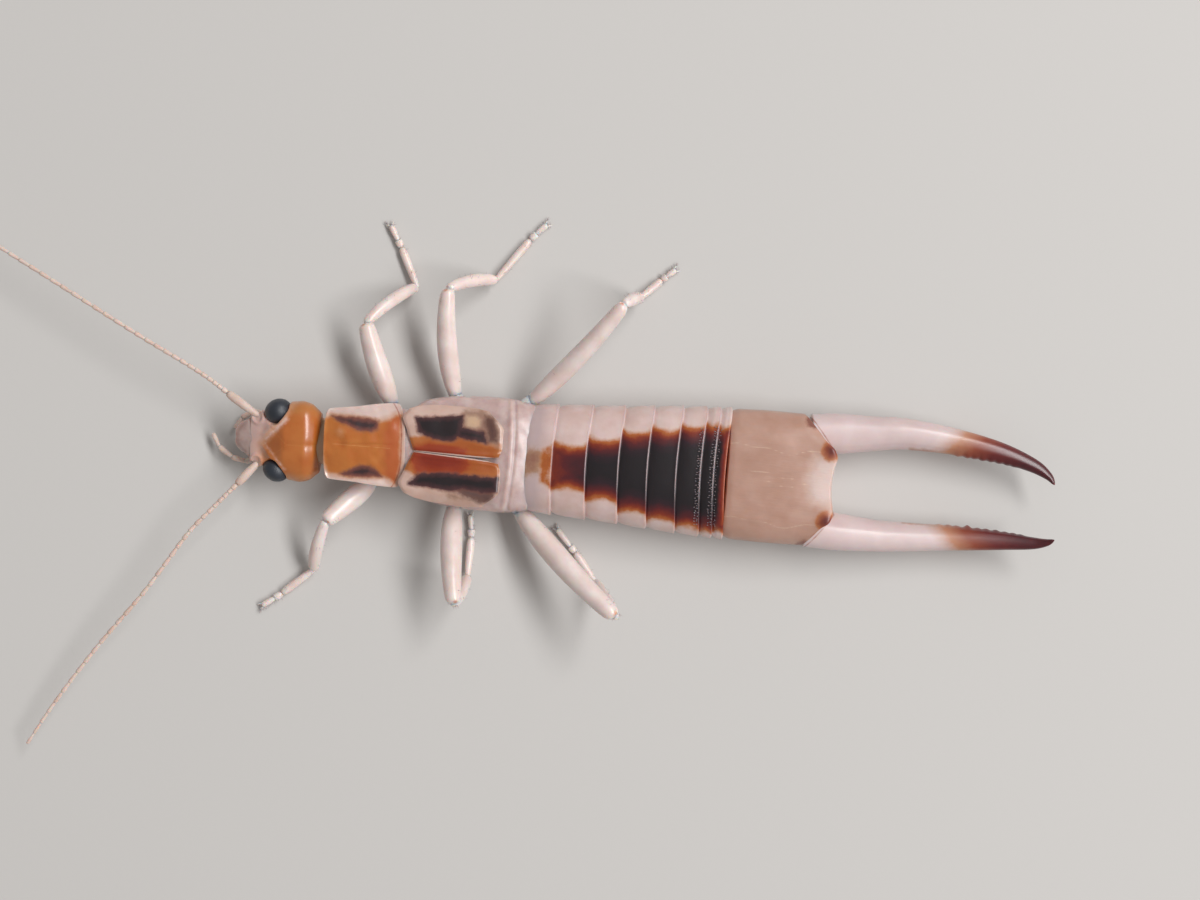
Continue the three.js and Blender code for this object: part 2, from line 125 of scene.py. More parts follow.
def inside(outline: Sequence[tuple[float, float]]) -> Field:
    """Makes a field of the distance inside an outline seen from above, in millimetres and below 0 outside it.

    Args:
        outline: Its (x, y) corners in order.

    Returns:
        A function of the place.
    """
    edges = list(zip(outline, [*outline[1:], outline[0]]))

    def depth(p: Vector) -> float:
        """Distance from p to the nearest edge, above 0 inside."""
        nearest, within = math.inf, False
        for (ax, ay), (bx, by) in edges:
            dx, dy = bx - ax, by - ay
            t = min(max(((p.x - ax) * dx + (p.y - ay) * dy) / (dx * dx + dy * dy), 0.0), 1.0)
            nearest = min(nearest, math.hypot(p.x - ax - t * dx, p.y - ay - t * dy))
            if (ay > p.y) != (by > p.y) and p.x < ax + dx * (p.y - ay) / dy:
                within = not within
        return nearest if within else -nearest

    return depth


def powered(value: float, exponent: float) -> float:
    """Raises the size of value to a power and keeps its sign."""
    return math.copysign(abs(value) ** exponent, value)


class Route:
    """A smooth line through a few points, measured by its own length."""

    STEPS = 24

    def __init__(self, points: Sequence[Point]) -> None:
        """Samples a Catmull-Rom curve through the points, in millimetres."""
        knots = [Vector(p) for p in points]
        knots = [knots[0] * 2 - knots[1], *knots, knots[-1] * 2 - knots[-2]]
        self.spots = []
        for a, b, c, d in zip(knots, knots[1:], knots[2:], knots[3:]):
            for i in range(self.STEPS):
                t = i / self.STEPS
                bend = (a * -1 + b * 3 - c * 3 + d) * t**3 + (a * 2 - b * 5 + c * 4 - d) * t**2
                self.spots.append((bend + (c - a) * t + b * 2) * 0.5)
        self.spots.append(knots[-2])
        self.reached = [0.0]
        for a, b in zip(self.spots, self.spots[1:]):
            self.reached.append(self.reached[-1] + (b - a).length)
        self.length = self.reached[-1]

    def at(self, share: float) -> tuple[Vector, Vector]:
        """Finds the place at a share of the length.

        Args:
            share: From 0 at the start to 1 at the end.

        Returns:
            The place and the direction there.
        """
        wanted = min(max(share, 0.0), 1.0) * self.length
        low, high = 0, len(self.reached) - 1
        while high - low > 1:
            middle = (low + high) // 2
            if self.reached[middle] <= wanted:
                low = middle
            else:
                high = middle
        a, b = self.spots[low], self.spots[high]
        t = (wanted - self.reached[low]) / max(self.reached[high] - self.reached[low], 1e-9)
        before = self.spots[max(low - 1, 0)]
        after = self.spots[min(high + 1, len(self.spots) - 1)]
        return a.lerp(b, t), (after - before).normalized()


# Modelling by hand: primitives, edit-mode operators and modifiers


def deselect_all() -> None:
    """Leaves nothing selected, not even the nodes of the frame."""
    if bpy.context.object and bpy.context.object.mode != "OBJECT":
        bpy.ops.object.mode_set(mode="OBJECT")
    bpy.ops.object.select_all(action="DESELECT")


def take_up(piece: bpy.types.Object) -> None:
    """Makes a piece the only selected and the active one."""
    deselect_all()
    piece.select_set(True)
    bpy.context.view_layer.objects.active = piece


def settle(piece: bpy.types.Object, name: str) -> bpy.types.Object:
    """Names a new primitive and applies its place, turn and size to its mesh."""
    take_up(piece)
    bpy.ops.object.transform_apply(location=True, rotation=True, scale=True)
    piece.name = piece.data.name = name
    return piece


def close_up(piece: bpy.types.Object) -> None:
    """Merges doubled vertices and turns all faces outwards."""
    take_up(piece)
    bpy.ops.object.mode_set(mode="EDIT")
    bpy.ops.mesh.select_all(action="SELECT")
    bpy.ops.mesh.remove_doubles(threshold=MERGE_DISTANCE)
    bpy.ops.mesh.dissolve_degenerate(threshold=MERGE_DISTANCE / 2)
    bpy.ops.mesh.normals_make_consistent(inside=False)
    bpy.ops.object.mode_set(mode="OBJECT")


def turned(name: str, profile: Sequence[tuple[float, float]], sides: int = 16) -> bpy.types.Object:
    """Turns a closed round body along +X: a filled circle is extruded and resized ring by ring.

    Args:
        name: The new object's name.
        profile: (x, radius) pairs in millimetres. The first and the last give the poles and have radius 0.
        sides: Faces around.

    Returns:
        The new object.
    """
    (first_pole, _), (x, radius), *rings, (last_pole, _) = profile
    deselect_all()
    bpy.ops.mesh.primitive_circle_add(
        vertices=sides,
        radius=radius * MM,
        fill_type="TRIFAN",
        location=(x * MM, 0, 0),
        rotation=(0, math.pi / 2, 0),
    )
    piece = settle(bpy.context.object, name)
    bpy.ops.object.mode_set(mode="EDIT")
    bpy.ops.mesh.select_all(action="SELECT")
    for next_x, next_radius in rings:
        step = {"value": ((next_x - x) * MM, 0, 0)}
        bpy.ops.mesh.extrude_region_move(TRANSFORM_OT_translate=step)
        growth = next_radius / radius
        centre = (next_x * MM, 0, 0)
        bpy.ops.transform.resize(value=(1, growth, growth), center_override=centre)
        x, radius = next_x, next_radius
    bpy.ops.object.mode_set(mode="OBJECT")
    on_axis = [v for v in piece.data.vertices if math.hypot(v.co.y, v.co.z) < MERGE_DISTANCE]
    on_axis.sort(key=lambda v: v.co.x)
    on_axis[0].co.x = first_pole * MM
    on_axis[-1].co.x = last_pole * MM
    close_up(piece)
    return piece


def formed(
    name: str, along: int, across: int, place: Callable[[float, float], Sequence[float]]
) -> bpy.types.Object:
    """Forms a skin from a grid: each vertex goes to place(u, v), and meeting edges are merged.

    Args:
        name: The new object's name.
        along: Faces along u.
        across: Faces along v.
        place: Gives x, y and z in millimetres from u and v between 0 and 1.

    Returns:
        The new object.
    """
    deselect_all()
    bpy.ops.mesh.primitive_grid_add(x_subdivisions=along, y_subdivisions=across, size=1)
    piece = settle(bpy.context.object, name)
    for vertex in piece.data.vertices:
        vertex.co = Vector(place(vertex.co.x + 0.5, vertex.co.y + 0.5)) * MM
    close_up(piece)
    return piece


def sculpt(piece: bpy.types.Object, move: Callable[[Vector], Vector]) -> bpy.types.Object:
    """Moves each vertex from p to move(p), in millimetres."""
    for vertex in piece.data.vertices:
        vertex.co = move(vertex.co / MM) * MM
    return piece


def press(piece: bpy.types.Object, depth: Callable[[Vector, Vector], float]) -> bpy.types.Object:
    """Moves each vertex along its normal.

    Args:
        piece: The piece to shape.
        depth: Gives the move in millimetres from the place and the normal.

    Returns:
        The piece.
    """
    normals = [v.normal.copy() for v in piece.data.vertices]
    for vertex, normal in zip(piece.data.vertices, normals):
        vertex.co += normal * depth(vertex.co / MM, normal) * MM
    return piece


def finish_with(piece: bpy.types.Object, kind: str, **settings: object) -> bpy.types.Object:
    """Adds a modifier and applies it.

    Args:
        piece: The piece to finish.
        kind: The modifier's type name.
        settings: Its properties.

    Returns:
        The piece.
    """
    take_up(piece)
    modifier = piece.modifiers.new(kind.title(), kind)
    for key, value in settings.items():
        setattr(modifier, key, value)
    bpy.ops.object.modifier_apply(modifier=modifier.name)
    return piece


def smoothed(piece: bpy.types.Object, levels: int = 1) -> bpy.types.Object:
    """Subdivides a piece smoothly."""
    return finish_with(piece, "SUBSURF", levels=levels, render_levels=levels)


def plate(piece: bpy.types.Object, thickness: float, rounding: float) -> bpy.types.Object:
    """Gives a skin a wall inwards and rounds its edges, in millimetres."""
    finish_with(piece, "SOLIDIFY", thickness=thickness * MM, offset=-1.0)
    return finish_with(piece, "BEVEL", width=rounding * MM, segments=2, angle_limit=math.radians(60))


def copied(piece: bpy.types.Object, name: str) -> bpy.types.Object:
    """Copies a piece with a mesh of its own."""
    twin = piece.copy()
    twin.data = piece.data.copy()
    twin.name = twin.data.name = name
    bpy.context.scene.collection.objects.link(twin)
    return twin


def joined(name: str, pieces: Sequence[bpy.types.Object]) -> bpy.types.Object:
    """Joins pieces into one object.

    Args:
        name: Its name.
        pieces: The pieces, of which the first takes up the others.

    Returns:
        The joined piece.
    """
    deselect_all()
    for piece in pieces:
        piece.select_set(True)
    bpy.context.view_layer.objects.active = pieces[0]
    if len(pieces) > 1:
        bpy.ops.object.join()
    pieces[0].name = pieces[0].data.name = name
    return pieces[0]


def discard(*pieces: bpy.types.Object) -> None:
    """Removes pieces that were only patterns for copies."""
    for piece in pieces:
        bpy.data.objects.remove(piece)


def laid(
    pattern: bpy.types.Object,
    name: str,
    start: Sequence[float],
    end: Sequence[float],
    wide: float,
    high: float | None = None,
    bow: Sequence[float] = (0, 0, 0),
) -> bpy.types.Object:
    """Lays a copy of a pattern that runs along +X from 0 to 1 from one place to another.

    Args:
        pattern: The piece to copy, 1 mm long and about 1 mm in radius.
        name: The copy's name.
        start: Where its x = 0 goes.
        end: Where its x = 1 goes.
        wide: Factor on its width.
        high: Factor on its height, or None for the same.
        bow: How far its middle is pushed out of the straight line.

    Returns:
        The copy.
    """
    first, last = Vector(start), Vector(end)
    along = (last - first).normalized()
    side = Vector((0, 0, 1)).cross(along)
    side = side.normalized() if side.length > 0.05 else Vector((0, 1, 0))
    lift = along.cross(side)
    tall = wide if high is None else high
    push = Vector(bow)

    def move(p: Vector) -> Vector:
        """Place of one vertex of the pattern on the line."""
        arch = push * (4 * min(max(p.x, 0.0), 1.0) * (1 - min(max(p.x, 0.0), 1.0)))
        return first + (last - first) * p.x + side * (p.y * wide) + lift * (p.z * tall) + arch

    return sculpt(copied(pattern, name), move)


def paint(piece: bpy.types.Object, name: str, value: Field) -> None:
    """Stores value(place in millimetres) on each vertex, for a material to read."""
    layer = piece.data.attributes.new(name, "FLOAT", "POINT")
    layer.data.foreach_set("value", [value(v.co / MM) for v in piece.data.vertices])


@dataclass(frozen=True)
class Stand:
    """Where the animal stands in the shared frame, in metres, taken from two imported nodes."""

    lip_x: float
    middle_y: float

    @classmethod
    def of_frame(cls) -> "Stand":
        """Reads the tip of the lip and the middle of the abdomen."""
        lip_low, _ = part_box("labrum")
        belly_low, belly_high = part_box("abdomen")
        return cls(lip_low.x, (belly_low.y + belly_high.y) / 2)

    def hand_over(
        self, piece: bpy.types.Object, material: bpy.types.Material, slot: str, *nodes: str
    ) -> bpy.types.Object:
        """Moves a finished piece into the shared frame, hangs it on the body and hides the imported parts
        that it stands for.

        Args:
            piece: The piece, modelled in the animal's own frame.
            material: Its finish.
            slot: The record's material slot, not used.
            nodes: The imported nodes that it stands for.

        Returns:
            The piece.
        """
        take_up(piece)
        piece.data.transform(Matrix.Translation((self.lip_x, self.middle_y, 0)))
        piece.data.materials.clear()
        piece.data.materials.append(material)
        bpy.ops.object.shade_smooth()
        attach(piece, BODY)
        if nodes:
            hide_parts(*nodes)
        log.info("%s: %d faces", piece.name, len(piece.data.polygons))
        return piece


# Finishes


def linear(shade: str) -> tuple[float, float, float, float]:
    """Turns an sRGB hex colour such as #c08040 into linear RGBA."""
    channels = [int(shade[i : i + 2], 16) / 255 for i in (1, 3, 5)]
    red, green, blue = (c / 12.92 if c <= 0.04045 else ((c + 0.055) / 1.055) ** 2.4 for c in channels)
    return (red, green, blue, 1.0)


def add_node(
    tree: bpy.types.NodeTree,
    kind: str,
    settings: dict[str | int, object],
    links: dict[str | int, bpy.types.NodeSocket] | None = None,
) -> bpy.types.Node:
    """Adds a node with its settings and its links.

    Args:
        tree: The material's node tree.
        kind: The node's type name.
        settings: Properties, or default values of inputs by their name or number.
        links: Sockets to link, by the input's name or number.

    Returns:
        The node.
    """
    node = tree.nodes.new(kind)
    for key, value in settings.items():
        if isinstance(key, str) and hasattr(node, key):
            setattr(node, key, value)
        else:
            node.inputs[key].default_value = value
    for key, socket in (links or {}).items():
        tree.links.new(socket, node.inputs[key])
    return node


def blank_material(name: str) -> tuple[bpy.types.Material, bpy.types.NodeTree, bpy.types.NodeSocket]:
    """Makes a material with no nodes but its coordinates.

    Args:
        name: The material's name.

    Returns:
        The material, its node tree and the Object coordinates.
    """
    material = bpy.data.materials.new(name)
    material.use_nodes = True
    tree = material.node_tree
    tree.nodes.clear()
    spot = add_node(tree, "ShaderNodeTexCoord", {}).outputs["Object"]
    return material, tree, spot


@dataclass(frozen=True)
class Stain:
    """A pigment patch whose edge follows a distance stored on the mesh.

    Args:
        layer: The stored distance in millimetres, above 0 inside the patch.
        stops: (distance, colour) from the faint edge inwards.
        ragged: How far the edge wanders, in millimetres.
        grain: Size of that wandering, in millimetres.
        strength: Share of the pigment at full depth.
    """

    layer: str
    stops: tuple[tuple[float, str], ...]
    ragged: float = 0.12
    grain: float = 0.35
    strength: float = 1.0


@dataclass(frozen=True)
class Cuticle:
    """Insect cuticle: a smooth, slightly waxy shell, tanned to its colour, that lets some light through.

    Args:
        name: The material's name.
        base: Main colour.
        mottle: Second colour, mixed in softly.
        mottle_size: Size of the soft mottling, in millimetres.
        stains: Pigment patches, outermost first.
        roughness: Of the shell under its wax.
        gloss: Weight of the thin wax coat.
        depth: How far light travels inside, in millimetres.
        glow: Share of the light that enters.
        grain: Size of the surface grain, in millimetres.
        relief: Height of that grain, in millimetres.
        stretch: How many times longer the grain is along the body than across it.
    """

    name: str
    base: str
    mottle: str
    mottle_size: float = 0.8
    stains: tuple[Stain, ...] = ()
    roughness: float = 0.34
    gloss: float = 0.35
    depth: float = 0.25
    glow: float = 0.6
    grain: float = 0.06
    relief: float = 0.004
    stretch: float = 1.0

    def build(self) -> bpy.types.Material:
        """Builds the material's nodes."""
        material, tree, spot = blank_material(self.name)
        soft = add_node(
            tree,
            "ShaderNodeTexNoise",
            {"Scale": 1 / (self.mottle_size * MM), "Detail": 3.0},
            {"Vector": spot},
        )
        spread = add_node(
            tree,
            "ShaderNodeMapRange",
            {"From Min": 0.35, "From Max": 0.65},
            {"Value": soft.outputs["Fac"]},
        )
        tones = {"data_type": "RGBA", 6: linear(self.base), 7: linear(self.mottle)}
        colour = add_node(tree, "ShaderNodeMix", tones, {0: spread.outputs["Result"]}).outputs[2]
        for stain in self.stains:
            colour = self.stained(tree, stain, colour, spot)
        squeeze = add_node(
            tree, "ShaderNodeMapping", {"Scale": (1 / self.stretch, 1.0, 1.0)}, {"Vector": spot}
        )
        fine = add_node(
            tree,
            "ShaderNodeTexNoise",
            {"Scale": 1 / (self.grain * MM), "Detail": 4.0, "Roughness": 0.6},
            {"Vector": squeeze.outputs["Vector"]},
        )
        bump = add_node(
            tree,
            "ShaderNodeBump",
            {"Strength": 1.0, "Distance": self.relief * MM},
            {"Height": fine.outputs["Fac"]},
        )
        dull = add_node(
            tree,
            "ShaderNodeMapRange",
            {"To Min": self.roughness * 0.8, "To Max": self.roughness * 1.25},
            {"Value": fine.outputs["Fac"]},
        )
        shell = add_node(
            tree,
            "ShaderNodeBsdfPrincipled",
            {
                "IOR": 1.54,
                "Subsurface Weight": self.glow,
                "Subsurface Radius": (1.0, 0.5, 0.3),
                "Subsurface Scale": self.depth * MM,
                "Coat Weight": self.gloss,
                "Coat Roughness": 0.18,
            },
            {"Base Color": colour, "Roughness": dull.outputs["Result"], "Normal": bump.outputs["Normal"]},
        )
        add_node(tree, "ShaderNodeOutputMaterial", {}, {"Surface": shell.outputs["BSDF"]})
        return material

    @staticmethod
    def stained(
        tree: bpy.types.NodeTree,
        stain: Stain,
        under: bpy.types.NodeSocket,
        spot: bpy.types.NodeSocket,
    ) -> bpy.types.NodeSocket:
        """Lays one pigment patch over the colour below it.

        Args:
            tree: The material's node tree.
            stain: The patch.
            under: The colour below.
            spot: Object coordinates.

        Returns:
            The mixed colour.
        """
        distance = add_node(tree, "ShaderNodeAttribute", {"attribute_name": stain.layer}).outputs["Fac"]
        wander = add_node(
            tree,
            "ShaderNodeTexNoise",
            {"Scale": 1 / (stain.grain * MM), "Detail": 4.0, "Roughness": 0.6},
            {"Vector": spot},
        )
        ragged = add_node(
            tree,
            "ShaderNodeMapRange",
            {"From Min": 0.2, "From Max": 0.8, "To Min": -stain.ragged, "To Max": stain.ragged},
            {"Value": wander.outputs["Fac"]},
        )
        sums = {0: distance, 1: ragged.outputs["Result"]}
        moved = add_node(tree, "ShaderNodeMath", {"operation": "ADD"}, sums)
        low, high = stain.stops[0][0], stain.stops[-1][0]
        share = add_node(
            tree,
            "ShaderNodeMapRange",
            {"From Min": low, "From Max": high},
            {"Value": moved.outputs["Value"]},
        )
        ramp = add_node(tree, "ShaderNodeValToRGB", {}, {"Fac": share.outputs["Result"]})
        colours = ramp.color_ramp.elements
        while len(colours) < len(stain.stops):
            colours.new(0.5)
        for stop, (reach, shade) in zip(colours, stain.stops):
            stop.position = (reach - low) / (high - low)
            stop.color = linear(shade)
        edge = add_node(
            tree,
            "ShaderNodeMapRange",
            {"From Min": low, "From Max": stain.stops[1][0], "To Max": stain.strength},
            {"Value": moved.outputs["Value"]},
        )
        layers = {0: edge.outputs["Result"], 6: under, 7: ramp.outputs["Color"]}
        return add_node(tree, "ShaderNodeMix", {"data_type": "RGBA"}, layers).outputs[2]


@dataclass(frozen=True)
class EyeLens:
    """Compound eye: black pigment under clear, closely set domed lenses, with painted blue-grey sheen in soft
    patches on top.
    """

    name: str = "compound_eye_lens"
    facet: float = 0.045  # the real ones are about 0.02 mm, too fine to show
    painted_sheen_size: float = 0.5

    def build(self) -> bpy.types.Material:
        """Builds the material's nodes."""
        material, tree, spot = blank_material(self.name)
        cells = add_node(tree, "ShaderNodeTexVoronoi", {"Scale": 1 / (self.facet * MM)}, {"Vector": spot})
        bump = add_node(
            tree,
            "ShaderNodeBump",
            {"Strength": 0.5, "Distance": 0.006 * MM, "invert": True},
            {"Height": cells.outputs["Distance"]},
        )
        painted_sheen = add_node(tree, "ShaderNodeTexNoise", {"Scale": 1 / (self.painted_sheen_size * MM)}, {"Vector": spot})
        # Near black pigment, lifted in patches to dark blue-grey as a painted sheen.
        tones = {"data_type": "RGBA", 6: linear("#151921"), 7: linear("#29303c")}
        tone = add_node(tree, "ShaderNodeMix", tones, {0: painted_sheen.outputs["Fac"]})
        lens = add_node(
            tree,
            "ShaderNodeBsdfPrincipled",
            {
                "IOR": 1.5,
                "Roughness": 0.42,
                "Coat Weight": 0.5,
                "Coat Roughness": 0.3,
                "Sheen Weight": 0.12,
                "Sheen Roughness": 0.4,
                "Sheen Tint": linear("#8f9fb4"),
            },
            {"Base Color": tone.outputs[2], "Normal": bump.outputs["Normal"]},
        )
        add_node(tree, "ShaderNodeOutputMaterial", {}, {"Surface": lens.outputs["BSDF"]})
        return material


@dataclass(frozen=True)
class FloorPaint:
    """Matt emulsion paint, rolled on board: even and pale, with no gloss."""

    name: str = "matt_floor_paint"
    shade: str = "#c9c6c3"
    stipple: float = 0.4

    def build(self) -> bpy.types.Material:
        """Builds the material's nodes."""
        material, tree, spot = blank_material(self.name)
        stipple = {"Scale": 1 / (self.stipple * MM), "Detail": 3.0}
        roller = add_node(tree, "ShaderNodeTexNoise", stipple, {"Vector": spot})
        bump = add_node(
            tree,
            "ShaderNodeBump",
            {"Strength": 0.3, "Distance": 0.01 * MM},
            {"Height": roller.outputs["Fac"]},
        )
        paint_coat = add_node(
            tree,
            "ShaderNodeBsdfPrincipled",
            {"Base Color": linear(self.shade), "Roughness": 0.8},
            {"Normal": bump.outputs["Normal"]},
        )
        add_node(tree, "ShaderNodeOutputMaterial", {}, {"Surface": paint_coat.outputs["BSDF"]})
        return material


# Freshly moulted cuticle, not yet tanned: thin clear chitin over pale flesh. The eye sees a milky skin with
# soft shadows, bright lines along the keels and a little orange where the knee is thick.
PALE_LEG = Cuticle(
    "untanned_leg_cuticle",
    base="#e9dcd8",
    mottle="#dfcdc7",
    stains=(Stain("joint_spot", ((0.0, "#cf8a58"), (0.08, "#bf6a3a")), 0.03, 0.12, 0.75),),
    roughness=0.34,
    gloss=0.3,
    depth=0.35,
    glow=0.75,
    grain=0.05,
    relief=0.003,
)
# Membrane between the plates: folded elastic cuticle with no pigment. It looks greyish pink and a little
# wrinkled, with a weak wet gloss.
SOFT_SKIN = Cuticle(
    "soft_joint_skin",
    base="#cfb9b5",
    mottle="#bfa39f",
    mottle_size=0.5,
    stains=(Stain("neck_tan", ((0.0, "#cdaa86"), (0.4, "#c29a70")), 0.06, 0.3, 0.8),),
    roughness=0.36,
    gloss=0.25,
    depth=0.4,
    glow=0.8,
    relief=0.006,
)
# Tanned head capsule: hard, domed and polished by its wax. It looks honey orange with one long bright
# reflection, and clears to pink in front, where it is thin.
HEAD_CASE = Cuticle(
    "tanned_head_cuticle",
    base="#bd7030",
    mottle="#b56426",
    mottle_size=0.7,
    stains=(
        Stain("frons_dark", ((0.0, "#b4642a"), (0.3, "#aa5b1e"), (0.6, "#a25216")), 0.15, 0.5, 0.6),
        Stain(
            "front_pale",
            ((-0.25, "#c6804c"), (0.1, "#d49e80"), (0.35, "#dbb2a4"), (0.7, "#cfada5")),
            0.08,
            0.3,
        ),
        # Painted highlight: a pale stripe along each ridge from the frons to the eye, broader on the lit
        # right side.
        Stain("ridge", ((-0.09, "#cc946e"), (0.08, "#e2c4ba")), 0.07, 0.14, 0.7),
        Stain("cheek_tan", ((0.0, "#b87a44"), (0.3, "#b5783f")), 0.06, 0.3, 0.6),
        Stain("suture", ((0.0, "#c5823f"), (0.03, "#c98c50")), 0.01, 0.1, 0.35),
    ),
    roughness=0.3,
    gloss=0.5,
    depth=0.18,
    glow=0.55,
    relief=0.003,
)
# Thin clear plate over the jaws. Their brown edges show through it, so it looks greyish pink.
LIP = Cuticle(
    "clear_lip_cuticle",
    base="#b39c96",
    mottle="#a58b84",
    mottle_size=0.35,
    stains=(Stain("lip_dark", ((0.0, "#7d5a50"), (0.25, "#5f3a30")), 0.05, 0.2, 0.7),),
    roughness=0.3,
    gloss=0.5,
    depth=0.3,
    glow=0.7,
)
# Cuticle under very short down: dull and pale beige, with a darker ring at each joint.
FEELER = Cuticle(
    "downy_feeler_cuticle",
    base="#dac7bd",
    mottle="#cfb6aa",
    mottle_size=0.6,
    stains=(Stain("joint_ring", ((0.0, "#bd9c8c"), (0.05, "#ab8474")), 0.01, 0.1, 0.6),),
    roughness=0.5,
    gloss=0.1,
    depth=0.15,
    glow=0.6,
    grain=0.03,
    relief=0.004,
)
# Thin tanned plate: orange where it lies on the body, clear and pinkish along its free margins, with two
# dark patches that have soft edges because the pigment lies below the surface.
SHIELD = Cuticle(
    "tanned_shield_cuticle",
    base="#bf7430",
    mottle="#b56422",
    mottle_size=0.9,
    stains=(
        Stain("rear_red", ((0.0, "#b96c34"), (0.4, "#b4592a")), 0.1, 0.4, 0.8),
        # Painted highlight on the right front hump of the shield.
        Stain("painted_hump_highlight", ((0.0, "#c48a4c"), (0.3, "#cf9c74")), 0.1, 0.3, 0.6),
        Stain("margin", ((-0.1, "#bf8454"), (0.05, "#c9a08a"), (0.25, "#d6beb6")), 0.05, 0.3),
        Stain("patch", ((-0.14, "#b0703c"), (0.02, "#7c463a"), (0.2, "#3a2124")), 0.06, 0.22),
        Stain("hind_line", ((0.0, "#a8502a"), (0.05, "#93401f")), 0.02, 0.2, 0.8),
        Stain("middle_line", ((0.0, "#cf9a60"), (0.03, "#d8a870")), 0.01, 0.2, 0.6),
    ),
    roughness=0.3,
    gloss=0.5,
    depth=0.16,
    glow=0.5,
    relief=0.005,
)
# Leathery wing case, a little uneven: orange red along the seam, near black stripes under a weak gloss and
# clear outer edges.
WING_CASE = Cuticle(
    "leathery_wing_case",
    base="#cdb0a4",
    mottle="#c29f90",
    mottle_size=0.8,
    stains=(
        Stain("orange_field", ((-0.15, "#bd8a66"), (0.0, "#b06a34"), (0.3, "#a4541c")), 0.08, 0.45),
        Stain("red_field", ((-0.15, "#a8501c"), (0.05, "#97380f"), (0.4, "#842408")), 0.12, 0.6),
        Stain("seam_rim", ((0.0, "#c08a70"), (0.03, "#d9bcb0")), 0.01, 0.2, 0.9),
        Stain("tan_field", ((-0.05, "#b89682"), (0.2, "#9c7a68"), (0.5, "#957060")), 0.12, 0.4, 0.95),
        Stain("pale_spot", ((-0.05, "#b3927c"), (0.15, "#c2a287"), (0.3, "#c9a98a")), 0.06, 0.3),
        Stain("brown_field", ((-0.1, "#7f5a4c"), (0.1, "#5f3c34"), (0.25, "#4a2a28")), 0.1, 0.35, 0.9),
        Stain("dark_field", ((-0.15, "#8a5444"), (0.0, "#4a272a"), (0.2, "#1c0e13")), 0.07, 0.25),
    ),
    roughness=0.33,
    gloss=0.25,
    depth=0.12,
    glow=0.45,
    grain=0.09,
    relief=0.006,
)
# Abdomen plates: clear and pale at the sides, with pigment on the back that goes from orange through deep red
# to near black as it gets denser.
RINGS = Cuticle(
    "banded_abdomen_cuticle",
    base="#dac3bf",
    mottle="#cfb3ab",
    mottle_size=0.9,
    stains=(
        Stain("clear", ((0.0, "#c2aeae"), (0.5, "#bda8a8")), 0.1, 0.5, 0.85),
        Stain("smudge", ((-0.25, "#bd9f8a"), (0.08, "#a2744e"), (0.35, "#8a4e26")), 0.2, 0.3, 0.8),
        Stain(
            "field",
            ((-0.28, "#c99a70"), (-0.08, "#b0622a"), (0.08, "#862c10"), (0.26, "#581318"), (0.55, "#280e19"),
             (0.85, "#150b11")),
            0.1,
            0.45,
        ),
        Stain("hind_red", ((0.0, "#6b1a12"), (0.15, "#7a1c10"), (0.3, "#a34a1c")), 0.06, 0.25, 0.95),
        # The rims are pale clear cuticle with a painted highlight laid on, stronger on the right.
        Stain("rim", ((0.0, "#7d666a"), (0.05, "#b3a0a4")), 0.01, 0.1, 0.75),
    ),
    roughness=0.32,
    gloss=0.25,
    depth=0.2,
    glow=0.55,
    grain=0.05,
    relief=0.005,
)
# Thick last plate over muscle, with little pigment: a dull pinkish tan with a fine lengthwise grain and
# red-brown knobs.
TAIL_PLATE = Cuticle(
    "tail_plate_cuticle",
    base="#be9888",
    mottle="#b38b79",
    mottle_size=1.1,
    stains=(
        Stain("hind_pale", ((0.0, "#cdb2a6"), (0.6, "#d3bdb6")), 0.15, 0.5, 0.85),
        Stain("crease", ((0.0, "#d2b7a0"), (0.04, "#dcc4ae")), 0.015, 0.4, 0.6),
        Stain("corner", ((0.0, "#a9755c"), (0.15, "#7c4334")), 0.1, 0.25, 0.85),
        Stain(
            "knob",
            ((0.0, "#bd8662"), (0.12, "#b06a3e"), (0.28, "#8e4228"), (0.4, "#6e2a26")),
            0.07,
            0.25,
            0.95,
        ),
    ),
    roughness=0.42,
    gloss=0.2,
    depth=0.25,
    glow=0.6,
    grain=0.12,
    relief=0.01,
    stretch=6.0,
)
# The hardest cuticle of the body, smooth all over: pinkish white at the root and tanned to dark red at the
# working tip.
PINCER = Cuticle(
    "hard_forceps_cuticle",
    base="#d8c5c4",
    mottle="#cfbab9",
    mottle_size=1.2,
    stains=(
        Stain("root_line", ((0.0, "#b0683c"), (0.06, "#8e4424")), 0.02, 0.2, 0.9),
        Stain("inner_tan", ((0.0, "#c0947c"), (0.12, "#a5694a")), 0.05, 0.3, 0.8),
        Stain(
            "tip",
            ((0.0, "#ccb0a6"), (0.8, "#b98468"), (1.6, "#8d432c"), (2.5, "#681d1c"), (3.8, "#4e1018")),
            0.12,
            0.5,
        ),
    ),
    roughness=0.36,
    gloss=0.3,
    depth=0.3,
    glow=0.6,
    relief=0.003,
)
# Single hairs and pegs of clear stiff cuticle, so they look grey against a dark plate.
BRISTLE = Cuticle(
    "clear_bristle",
    base="#a3979c",
    mottle="#8d8087",
    roughness=0.35,
    depth=0.05,
    glow=0.3,
)


# The animal's parts


